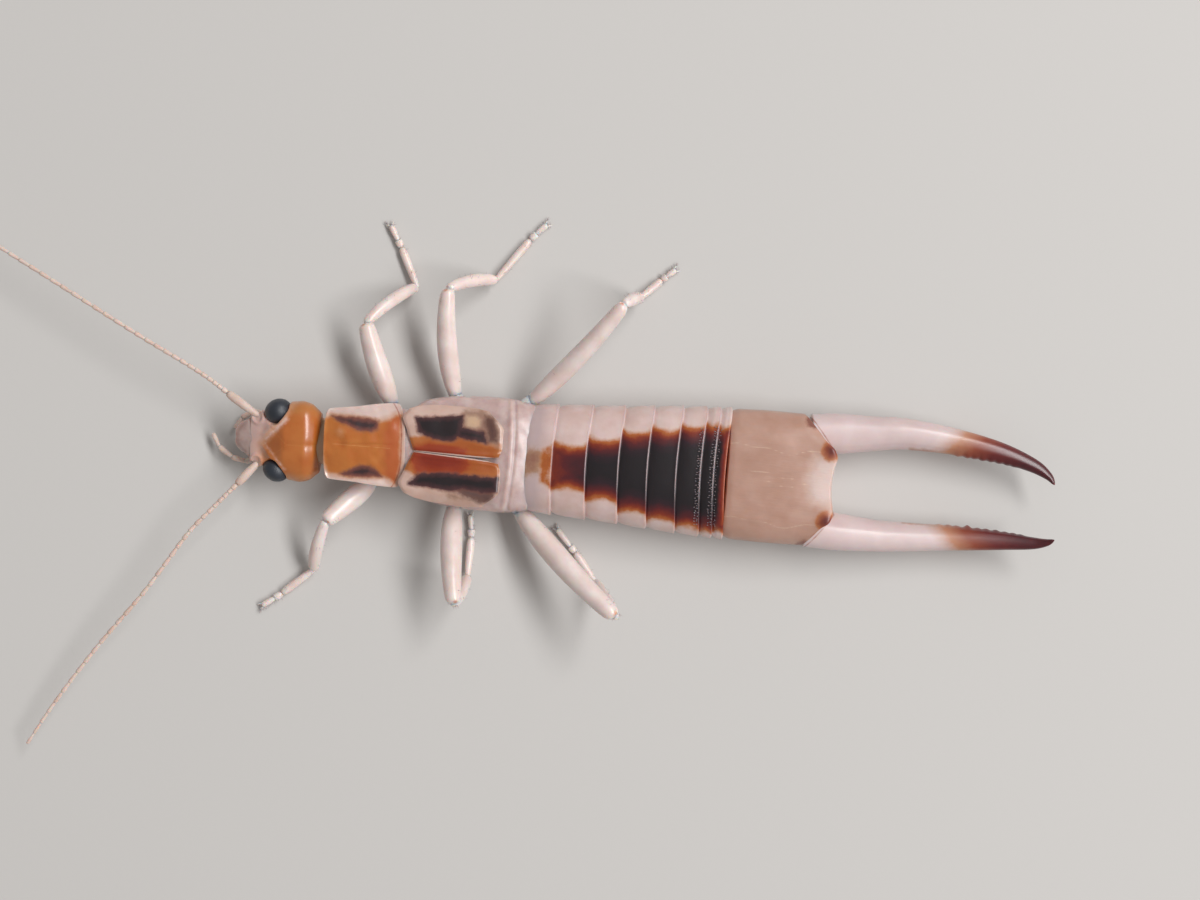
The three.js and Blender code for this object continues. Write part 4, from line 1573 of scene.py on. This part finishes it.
            # Painted highlight: the rim narrows towards the left, away from the light.
            thin = 0.04 * ease(0.3, -1.8, p.y)
            return 0.08 - thin - before if ring < 7 and p.z > 1.2 else -1.0

        def hind_red(p: Vector) -> float:
            """Distance inside the red band at the rear of the last ring."""
            ring, _, before = self.ring_place(p)
            across = self.dark_halves[-1] - abs(p.y - self.centre_line)
            return min(0.3 - before, across) if ring == 7 and p.z > 1.5 else -1.0

        paint(piece, "rim", rim)
        paint(piece, "hind_red", hind_red)
        paint(piece, "clear", lambda p: 13.45 - p.x - 0.2)
        smudge = inside(self.smudge_outline)
        paint(piece, "smudge", lambda p: smudge(p) if p.z > 1.5 else -1.0)
        return stand.hand_over(piece, RINGS.build(), "abdomen", "abdomen")


@dataclass
class TailPlate:
    """Last segment: a broad box whose rear corners are cut back for the forceps, with two knobs."""

    start: float = 20.55
    end: float = 25.3
    corner_start: float = 1.2
    corner_slope: float = 0.8
    lean: float = -0.19
    middle: float = 1.4
    knob_spot: tuple[float, float] = (24.9, 1.46)
    half: Curve = curve((20.55, 2.6), (20.9, 2.68), (21.2, 2.74), (23.2, 2.78), (25.3, 2.76))
    top: Curve = curve((20.55, 2.62), (20.95, 2.74), (22.5, 2.84), (24.4, 2.8), (25.3, 2.7))
    bottom: Curve = curve((20.55, 0.16), (22.5, 0.1), (25.3, 0.5))

    def rear(self, y: float) -> float:
        """Rear edge: hollow in the middle, cut back at the corners."""
        across = abs(y - self.lean)
        hollow = 0.18 * max(0.0, 1 - (across / 1.1) ** 2)
        return self.end - self.corner_slope * max(0.0, across - self.corner_start) - hollow

    def place(self, u: float, v: float) -> Point:
        """Skin of the box: u runs to the rear, v goes round."""
        angle = 2 * math.pi * v
        flat_x = self.start + (self.end - self.start) * u
        close = min(1.0, (max(0.0, u) / 0.02) ** 0.45, (max(0.0, 1 - u) / 0.035) ** 0.45)
        y = self.half(flat_x) * powered(math.cos(angle), 0.72) * close
        high = math.sin(angle) > 0
        rise = self.top(flat_x) - self.middle if high else self.middle - self.bottom(flat_x)
        z = self.middle + rise * powered(math.sin(angle), 0.72) * close
        x = self.start + (self.rear(y) - self.start) * u
        return (x, y, z)

    def relief(self, p: Vector, normal: Vector) -> float:
        """Knobs, a shallow middle furrow and fine lengthwise wrinkles."""
        up = ease(0.1, 0.6, normal.z)
        across = abs(p.y - self.lean)
        knob = 0.15 * mound(p.x, across, self.knob_spot, 0.2)
        swell = 0.08 * mound(p.x, across, self.knob_spot, 0.45)
        furrow = -0.03 * math.exp(-(((p.y - self.lean) / 0.5) ** 2)) * ease(23.4, 24.8, p.x)
        wrinkle = 0.022 * noise.noise(Vector((p.x * 0.7, p.y * 3.2, 3.0)))
        side = -0.05 * math.exp(-(((p.z - 1.1) / 0.08) ** 2)) * ease(0.6, 0.2, abs(normal.z))
        return up * (knob + swell + furrow + wrinkle) + side

    def build(self, stand: Stand) -> None:
        """Builds the last segment."""
        piece = formed("tail_plate", 120, 110, self.place)
        press(piece, self.relief)
        smoothed(piece)

        def crease(p: Vector) -> float:
            """Distance inside a few faint pale lengthwise creases."""
            wave = p.y + 0.12 * math.sin(p.x * 1.7) + 0.05 * math.sin(p.x * 4.1 + 1)
            nearest = min(abs(wave - at) for at in (-1.9, -0.2, 0.15, 1.15))
            return 0.035 - nearest if p.z > 2 else -1.0

        paint(piece, "crease", crease)
        paint(piece, "hind_pale", lambda p: min(p.x - 23.6 - 0.3 * abs(p.y), 1.3 - abs(p.y)))
        knob_x, knob_y = self.knob_spot

        def knob(p: Vector) -> float:
            """Distance inside the red-brown colour of the knobs."""
            away = math.hypot(p.x - knob_x + 0.05, abs(p.y - self.lean) - knob_y)
            return 0.5 - away if p.z > 1.6 else -1.0

        paint(piece, "knob", knob)

        def corner(p: Vector) -> float:
            """Distance inside the tanned edges of the cut corners and the spots at their outer ends."""
            across = abs(p.y - self.lean)
            edge = p.x - self.rear(p.y) + 0.22 if across > self.corner_start else -1.0
            return max(0.42 - math.hypot(p.x - 24.1, across - 2.65), edge)

        paint(piece, "corner", corner)
        stand.hand_over(piece, TAIL_PLATE.build(), "last_segment", "last_segment")


@dataclass
class Forceps:
    """The two arms of the forceps, with rounded teeth on the inner edge and a hooked point."""

    paths: dict[Side, tuple[Point, ...]] = field(
        default_factory=lambda: {
            Side.RIGHT: (
                (24.0, 1.95, 1.38), (26.6, 2.14, 1.3), (28.0, 2.25, 1.3), (30.0, 2.12, 1.3),
                (32.1, 1.8, 1.35), (33.5, 1.38, 1.4), (34.2, 0.98, 1.45), (34.5, 0.62, 1.5),
            ),
            Side.LEFT: (
                (24.0, -2.02, 1.38), (26.9, -2.12, 1.25), (28.4, -2.08, 1.2), (30.3, -1.98, 1.2),
                (32.4, -1.92, 1.35), (33.7, -1.9, 1.6), (34.25, -1.82, 1.85), (34.5, -1.68, 2.1),
            ),
        }
    )
    rolls: dict[Side, float] = field(default_factory=lambda: {Side.RIGHT: 0.0, Side.LEFT: math.radians(-35)})
    teeth: dict[Side, tuple[tuple[float, float], ...]] = field(
        default_factory=lambda: {
            Side.RIGHT: (
                (30.45, 0.05), (30.85, 0.06), (31.15, 0.05), (31.5, 0.07), (31.85, 0.05), (32.2, 0.05),
                (32.55, 0.04), (32.85, 0.03),
            ),
            Side.LEFT: (
                (29.9, 0.05), (30.28, 0.07), (30.62, 0.06), (31.08, 0.15), (31.5, 0.07), (31.85, 0.08),
                (32.25, 0.09), (32.62, 0.06), (32.95, 0.06), (33.25, 0.05),
            ),
        }
    )
    tooth_reach: float = 0.13
    width: Curve = curve((0, 0.82), (0.12, 0.86), (0.19, 0.8), (0.3, 0.71), (0.41, 0.65), (0.54, 0.58),
                         (0.71, 0.47), (0.81, 0.38), (0.91, 0.27), (0.965, 0.16), (0.99, 0.08), (1, 0.02))
    height: Curve = curve((0, 0.7), (0.15, 0.66), (0.5, 0.5), (0.8, 0.33), (0.93, 0.2), (0.985, 0.09),
                          (1, 0.02))

    def arm(self, side: Side) -> bpy.types.Object:
        """Forms one arm along its line, with its teeth.

        Args:
            side: The arm's side.

        Returns:
            The arm.
        """
        line = Route(self.paths[side])
        roll = self.rolls[side]
        inward = -side.value

        def place(u: float, v: float) -> Point:
            """Skin of the arm: u runs to the tip, v goes round."""
            centre, along = line.at(u)
            across = Vector((0, 0, 1)).cross(along).normalized()
            turn = Quaternion(along, roll)
            lift = turn @ along.cross(across)
            across = turn @ across
            angle = 2 * math.pi * v
            cos, sin = math.cos(angle), math.sin(angle)
            wide, high = self.width(u), self.height(u)
            keel_at = math.pi * (0.5 - 0.1 * inward)
            keel = 1 + 0.1 * math.exp(-(((angle - keel_at) / 0.3) ** 2)) * ease(0.5, 0.75, u)
            edge = ease(0.3, 0.98, cos * inward)
            bite = 0.0
            for at, tall in self.teeth[side]:
                bite = max(bite, tall * math.exp(-((abs(centre.x - at) / self.tooth_reach) ** 2.2)))
            crease_at = math.pi * (0.5 - 0.27 * inward)
            crease = -0.03 * math.exp(-(((angle - crease_at) / 0.12) ** 2)) * ease(0.75, 0.5, u)
            blunt = min(1.0, (max(u, 0.0) / 0.012) ** 0.5)
            spot = centre + across * (cos * (wide + crease)) + lift * (sin * high * keel)
            spot = centre + (spot - centre) * blunt + across * (inward * bite * edge * 0.9)
            return (spot.x, spot.y, max(spot.z, 0.03))

        piece = formed(f"forceps_{side.word}_arm", 300, 44, place)
        return smoothed(piece)

    def build(self, stand: Stand, tail: TailPlate) -> None:
        """Builds both arms with their stored distances."""
        finish = PINCER.build()
        for side in Side:
            piece = self.arm(side)
            sign = side.value
            line = self.paths[side]
            middle = smooth_curve([(x, y * sign) for x, y, _ in line])
            paint(piece, "tip", lambda p: p.x - 29.5 + 0.8 * (middle(p.x) - p.y * sign))
            paint(
                piece,
                "inner_tan",
                lambda p: min(middle(p.x) - self.width((p.x - 24) / 10.7) - p.y * sign + 0.14, p.x - 28.2),
            )
            paint(piece, "root_line", lambda p: 0.05 - abs(p.x - tail.rear(p.y) - 0.03))
            stand.hand_over(piece, finish, "forceps", f"forceps_{side.word}")


@dataclass(frozen=True)
class LegPose:
    """One leg's joints in millimetres: hip, root of the thigh, knee, ankle and the line of the foot.

    Args:
        node: The leg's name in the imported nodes.
        hip: Where it leaves the body.
        root: Where the thigh starts.
        knee: Knee.
        ankle: Ankle, where the foot starts.
        foot: The foot's first and second joint ends and its tip, all on the floor.
        stout: Half the thigh's width.
        bow: How far the thigh's middle is pushed out of the straight line.
    """

    node: str
    hip: Point
    root: Point
    knee: Point
    ankle: Point
    foot: tuple[tuple[float, float], tuple[float, float], tuple[float, float]]
    stout: float
    bow: Point = (0.0, 0.0, 0.0)


@dataclass
class Legs:
    """Six legs of the same six pieces, laid along the joints of the pose."""

    sole: float = 0.2
    hip_radius: float = 0.42
    ring_radius: float = 0.34
    shin_radius: tuple[float, float] = (0.27, 0.25)
    foot_radii: tuple[float, float, float] = (0.17, 0.16, 0.13)
    claw_radius: float = 0.05
    claw_spread: float = 0.13
    poses: tuple[LegPose, ...] = (
        LegPose("front_left", (6.1, -0.7, 0.75), (5.85, -1.5, 0.85), (4.13, -3.34, 2.1), (3.53, -5.51, 0.42),
                ((2.22, -6.67), (1.95, -6.88), (1.24, -7.37)), 0.46),
        LegPose("front_right", (6.3, 0.75, 0.75), (6.42, 1.7, 0.85), (5.16, 5.07, 2.1), (6.96, 6.88, 0.42),
                ((6.14, 8.53), (5.98, 8.8), (5.52, 9.61)), 0.47, (-0.08, 0.0, 0.1)),
        LegPose("mid_left", (9.2, -1.05, 0.75), (9.32, -2.1, 0.85), (9.82, -6.25, 3.0), (10.1, -5.3, 0.45),
                ((10.12, -3.6), (10.1, -3.3), (9.98, -2.45)), 0.46, (-0.1, 0.0, 0.1)),
        LegPose("mid_right", (9.1, 1.05, 0.75), (9.1, 2.1, 0.85), (8.52, 6.73, 2.6), (10.3, 7.44, 0.42),
                ((11.64, 9.31), (11.85, 9.55), (12.44, 10.14)), 0.43, (-0.22, 0.0, 0.1)),
        LegPose("hind_left", (11.0, -1.1, 0.75), (11.95, -2.1, 0.85), (16.5, -6.22, 3.3),
                (15.55, -5.08, 0.45), ((14.6, -3.9), (14.4, -3.68), (13.6, -2.8)), 0.5, (-0.1, -0.1, 0.1)),
        LegPose("hind_right", (11.0, 1.1, 0.75), (12.0, 2.1, 0.85), (15.87, 6.61, 3.3), (16.5, 7.15, 0.45),
                ((17.38, 8.02), (17.56, 8.18), (18.1, 8.64)), 0.41, (0.1, -0.1, 0.1)),
    )

    def patterns(self) -> dict[str, bpy.types.Object]:
        """Turns each kind of leg piece once, 1 mm long."""
        profiles = {
            "hip": [(-0.06, 0), (-0.05, 0.6), (0.1, 0.95), (0.45, 1.0), (0.85, 0.8), (1.0, 0.55), (1.06, 0)],
            "thigh": [(-0.02, 0), (-0.015, 0.35), (0.0, 0.5), (0.04, 0.6), (0.12, 0.78), (0.25, 0.95),
                      (0.42, 1.0), (0.6, 0.95), (0.78, 0.84), (0.9, 0.76), (0.96, 0.68), (0.99, 0.5),
                      (1.0, 0)],
            "shin": [(-0.03, 0), (-0.025, 0.45), (0.0, 0.7), (0.06, 0.8), (0.15, 0.86), (0.4, 1.0),
                     (0.7, 0.98), (0.92, 0.9), (0.98, 0.75), (1.01, 0)],
            "foot": [(-0.03, 0), (-0.02, 0.45), (0.0, 0.6), (0.15, 0.85), (0.5, 1.0), (0.85, 1.05),
                     (0.96, 0.9), (1.01, 0)],
            "claw": [(-0.04, 0), (-0.02, 0.6), (0.05, 1.0), (0.3, 0.8), (0.6, 0.5), (0.85, 0.24),
                     (0.97, 0.08), (1.0, 0)],
        }
        made = {kind: turned(f"{kind}_pattern", profile, 16) for kind, profile in profiles.items()}
        for kind in ("thigh", "shin"):
            # Four blunt lengthwise keels, which catch the light as long bright lines.
            made[kind] = sculpt(made[kind], self.keeled)
        for pattern in made.values():
            smoothed(pattern)
            paint(pattern, "joint_spot", lambda p: -1.0)
        spots = made["thigh"].data.attributes["joint_spot"].data
        for spot, vertex in zip(spots, made["thigh"].data.vertices):
            p = vertex.co / MM
            spot.value = 0.12 - math.hypot((p.x - 0.985) * 3, p.z * 0.4 - 0.1, (p.y - 0.2) * 0.4)
        return made

    @staticmethod
    def keeled(p: Vector) -> Vector:
        """Raises four keels on a turned piece."""
        angle = math.atan2(p.z, p.y)
        growth = 1 + 0.06 * abs(math.cos(2 * angle)) ** 3
        return Vector((p.x, p.y * growth, p.z * growth))

    def leg(self, pose: LegPose, made: dict[str, bpy.types.Object]) -> bpy.types.Object:
        """Lays the pieces of one leg.

        Args:
            pose: The leg's joints.
            made: The patterns, 1 mm long.

        Returns:
            The leg as one object.
        """
        name = pose.node
        root, knee, ankle = Vector(pose.root), Vector(pose.knee), Vector(pose.ankle)
        ends = [Vector((x, y, self.sole)) for x, y in pose.foot]
        shin_start = knee + (ankle - knee).normalized() * 0.04 + Vector((0, 0, -0.08))
        shin_bow = Vector((0, 0, 0.12)) + (knee - root).normalized() * 0.12
        ring = (root.lerp(Vector(pose.hip), 0.25), root.lerp(knee, 0.1))
        heel = ankle + Vector((0, 0, -0.08))
        second = ends[1] + (ends[1] - ends[0]) * 0.1
        third = ends[2] + (ends[1] - ends[2]).normalized() * 0.2
        pieces = [
            laid(made["hip"], f"{name}_hip", pose.hip, root, self.hip_radius),
            laid(made["hip"], f"{name}_ring", *ring, self.ring_radius),
            laid(made["thigh"], f"{name}_thigh", root, knee, pose.stout, pose.stout * 0.9, pose.bow),
            laid(made["shin"], f"{name}_shin", shin_start, ankle, *self.shin_radius, shin_bow),
            laid(made["foot"], f"{name}_foot_1", heel, ends[0], self.foot_radii[0], bow=(0, 0, -0.04)),
            laid(made["foot"], f"{name}_foot_2", ends[0], second, self.foot_radii[1], 0.12),
            laid(made["foot"], f"{name}_foot_3", ends[1], third, self.foot_radii[2]),
        ]
        toe = (ends[2] - ends[1]).normalized()
        side = Vector((0, 0, 1)).cross(toe).normalized()
        start = ends[2] - toe * 0.28
        for sign in (-1, 1):
            end = ends[2] + side * (self.claw_spread * sign) + Vector((0, 0, 0.05 - self.sole))
            bend = tuple(side * (0.05 * sign) + Vector((0, 0, 0.05)))
            pieces.append(laid(made["claw"], f"{name}_claw_{sign}", start, end, self.claw_radius, bow=bend))
        whole = joined(f"leg_{name}_skin", pieces)
        return sculpt(whole, lambda p: Vector((p.x, p.y, max(p.z, 0.0))))

    def build(self, stand: Stand) -> list[bpy.types.Object]:
        """Builds the six legs."""
        made = self.patterns()
        finish = PALE_LEG.build()
        legs = []
        for pose in self.poses:
            nodes = [f"leg_{pose.node}_{part}" for part in ("coxa", "femur", "tibia", "tarsus")]
            legs.append(stand.hand_over(self.leg(pose, made), finish, "leg", *nodes))
        discard(*made.values())
        return legs


@dataclass
class Bristles:
    """Fine hairs on the legs and rows of short pegs at the abdomen's last rims, each a small cone."""

    seed: int = 7
    leg_hairs: int = 110
    hair_width: float = 0.008
    peg_width: float = 0.03
    peg_pitch: float = 0.125
    peg_rows: tuple[tuple[float, float], ...] = (
        (19.7, 0.1), (19.7, 0.2), (20.25, 0.09), (20.25, 0.19), (20.25, -0.07),
    )
    peg_span: tuple[float, float] = (-2.3, 1.75)
    bare_half: float = 2.6
    bare_sole: float = 0.1
    root_depth: float = 0.01
    unwrap_shift: float = 15.0
    unwrap_span: float = 50.0
    patch: float = 0.003

    def cone(self) -> bpy.types.Object:
        """Models one hair along +X, 1 mm long, with an empty map named OFBake."""
        deselect_all()
        bpy.ops.mesh.primitive_cone_add(
            vertices=5,
            radius1=MM,
            radius2=0.15 * MM,
            depth=MM,
            location=(0.5 * MM, 0, 0),
            rotation=(0, math.pi / 2, 0),
        )
        pattern = settle(bpy.context.object, "hair_pattern")
        for layer in list(pattern.data.uv_layers):
            pattern.data.uv_layers.remove(layer)
        pattern.data.uv_layers.new(name="OFBake")
        return pattern

    def strand(
        self, pattern: bpy.types.Object, name: str, root: Vector, tip: Vector, width: float
    ) -> bpy.types.Object:
        """Lays one hair and gives it a small patch of the map at its root's place, seen from above.

        Args:
            pattern: The cone to copy.
            name: The hair's name.
            root: Where it starts, in millimetres.
            tip: Where it ends.
            width: Its radius at the root.

        Returns:
            The hair.
        """
        hair = laid(pattern, name, root, tip, width)
        place = Vector(((c + self.unwrap_shift) / self.unwrap_span for c in (root.x, root.y)))
        for i, corner in enumerate(hair.data.uv_layers["OFBake"].data):
            corner.uv = place + Vector((i % 3, i % 2)) * (self.patch / 3)
        return hair

    def on_leg(self, leg: bpy.types.Object, stand: Stand, pattern: bpy.types.Object) -> bpy.types.Object:
        """Grows sparse hairs on one leg, each leaning towards the foot.

        Args:
            leg: The finished leg.
            stand: Where the animal stands.
            pattern: The cone to copy.

        Returns:
            The leg's hairs as one object.
        """
        dice = random.Random(self.seed)
        origin = Vector((stand.lip_x, stand.middle_y, 0)) / MM
        vertices = leg.data.vertices
        hairs = []
        while len(hairs) < self.leg_hairs:
            vertex = vertices[dice.randrange(len(vertices))]
            root = vertex.co / MM - origin
            if abs(root.y) < self.bare_half or root.z < self.bare_sole:
                continue
            lean = Vector((dice.uniform(-0.2, 0.2), math.copysign(0.5, root.y), -0.5))
            away = (vertex.normal + lean).normalized()
            tip = root + away * dice.uniform(0.1, 0.22)
            if tip.z > 0.02:
                name = f"{leg.name}_hair_{len(hairs)}"
                sunk = root - vertex.normal * self.root_depth
                hairs.append(self.strand(pattern, name, sunk, tip, self.hair_width))
        return joined(leg.name.replace("_skin", "_hairs"), hairs)

    def on_rims(
        self, abdomen: Abdomen, rings: bpy.types.Object, stand: Stand, pattern: bpy.types.Object
    ) -> bpy.types.Object:
        """Sets rows of short pegs before and behind the last rims of the dark field.

        Args:
            abdomen: Gives the bow of the rims.
            rings: The finished rings.
            stand: Where the animal stands.
            pattern: The cone to copy.

        Returns:
            The pegs as one object.
        """
        dice = random.Random(self.seed)
        origin = Vector((stand.lip_x, stand.middle_y, 0))
        pegs = []
        for rim, before in self.peg_rows:
            y, last = self.peg_span
            while y < last:
                y += self.peg_pitch * dice.uniform(0.6, 1.5)
                x = rim + abdomen.bowed(rim, y) - before + dice.uniform(-0.03, 0.03)
                above = Vector((x, y, 5)) * MM + origin
                hit, spot, normal, _ = rings.ray_cast(above, Vector((0, 0, -1)))
                if not hit:
                    continue
                root = (spot - origin) / MM
                away = Vector((dice.uniform(0.03, 0.07), dice.uniform(-0.02, 0.02), 0))
                tip = root + normal * 0.035 + away
                sunk = root - normal * self.root_depth
                pegs.append(self.strand(pattern, f"peg_{len(pegs)}", sunk, tip, self.peg_width))
        return joined("abdomen_pegs", pegs)

    def build(
        self, stand: Stand, abdomen: Abdomen, rings: bpy.types.Object, legs: Sequence[bpy.types.Object]
    ) -> None:
        """Grows the hairs and the pegs.

        Args:
            stand: Where the animal stands.
            abdomen: The abdomen's sizes.
            rings: The finished rings.
            legs: The finished legs.
        """
        pattern = self.cone()
        finish = BRISTLE.build()
        bpy.context.view_layer.update()
        stand.hand_over(self.on_rims(abdomen, rings, stand, pattern), finish, "abdomen")
        for leg in legs:
            stand.hand_over(self.on_leg(leg, stand, pattern), finish, "leg")
        discard(pattern)


@dataclass
class Studio:
    """Pale floor, soft light and the camera straight above."""

    stand: Stand
    camera_height: float = 70.0
    nadir: tuple[float, float] = (15.32, 0.55)
    floor_width_seen: float = 51.58
    roll: float = math.radians(4.6)
    floor_size: float = 1200.0
    key_place: Point = (226, 70, 290)
    key_aim: Point = (16, 0, 1)
    key_size: tuple[float, float] = (430, 85)
    key_watts: float = 1.45
    sky_shade: str = "#f4f2f0"
    sky_strength: float = 0.36

    def key_light(self) -> None:
        """Adds a long soft box that lies across the body's direction and points at its middle."""
        lamp = bpy.data.lights.new("key_box", "AREA")
        lamp.shape = "RECTANGLE"
        lamp.size, lamp.size_y = (side * MM for side in self.key_size)
        lamp.energy = self.key_watts
        box = bpy.data.objects.new("key_box", lamp)
        box.location = self.in_frame(self.key_place)
        box.rotation_euler = (self.in_frame(self.key_aim) - box.location).to_track_quat("-Z", "Y").to_euler()
        bpy.context.scene.collection.objects.link(box)

    def in_frame(self, place: Sequence[float]) -> Vector:
        """Turns the animal's millimetres into the shared frame's metres."""
        x, y, z = place
        return Vector((self.stand.lip_x + x * MM, self.stand.middle_y + y * MM, z * MM))

    def build(self) -> None:
        """Builds the floor, the light and the camera."""
        deselect_all()
        bpy.ops.mesh.primitive_plane_add(size=self.floor_size * MM)
        floor = settle(bpy.context.object, "floor")
        floor.data.materials.append(FloorPaint().build())
        self.key_light()
        world = bpy.data.worlds.new("studio")
        world.use_nodes = True
        sky = world.node_tree.nodes["Background"].inputs
        sky["Color"].default_value = linear(self.sky_shade)
        sky["Strength"].default_value = self.sky_strength
        bpy.context.scene.world = world
        # The plain transform keeps the deep orange and the near black as a camera shows them.
        bpy.context.scene.view_settings.view_transform = "Standard"
        lens = bpy.data.cameras.new("camera")
        lens.sensor_fit = "HORIZONTAL"
        lens.angle = 2 * math.atan(self.floor_width_seen / 2 / self.camera_height)
        lens.clip_start = 0.001
        lens.clip_end = 10.0
        camera = bpy.data.objects.new("camera", lens)
        camera.location = self.in_frame((*self.nadir, self.camera_height))
        camera.rotation_euler = (0, 0, self.roll)
        bpy.context.scene.collection.objects.link(camera)
        bpy.context.scene.camera = camera


def main() -> None:
    """Builds the animal from head to forceps, then the studio."""
    logging.basicConfig(level=logging.INFO, format="%(message)s")
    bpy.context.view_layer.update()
    stand = Stand.of_frame()
    head = Head()
    tail = TailPlate()
    head.build(stand)
    Mouthparts(head).build(stand)
    Feelers().build(stand)
    SoftBody().build(stand)
    Shield().build(stand)
    WingCases().build(stand)
    abdomen = Abdomen()
    rings = abdomen.build(stand)
    tail.build(stand)
    Forceps().build(stand, tail)
    legs = Legs().build(stand)
    Bristles().build(stand, abdomen, rings, legs)
    Studio(stand).build()


if __name__ == "__main__":
    main()
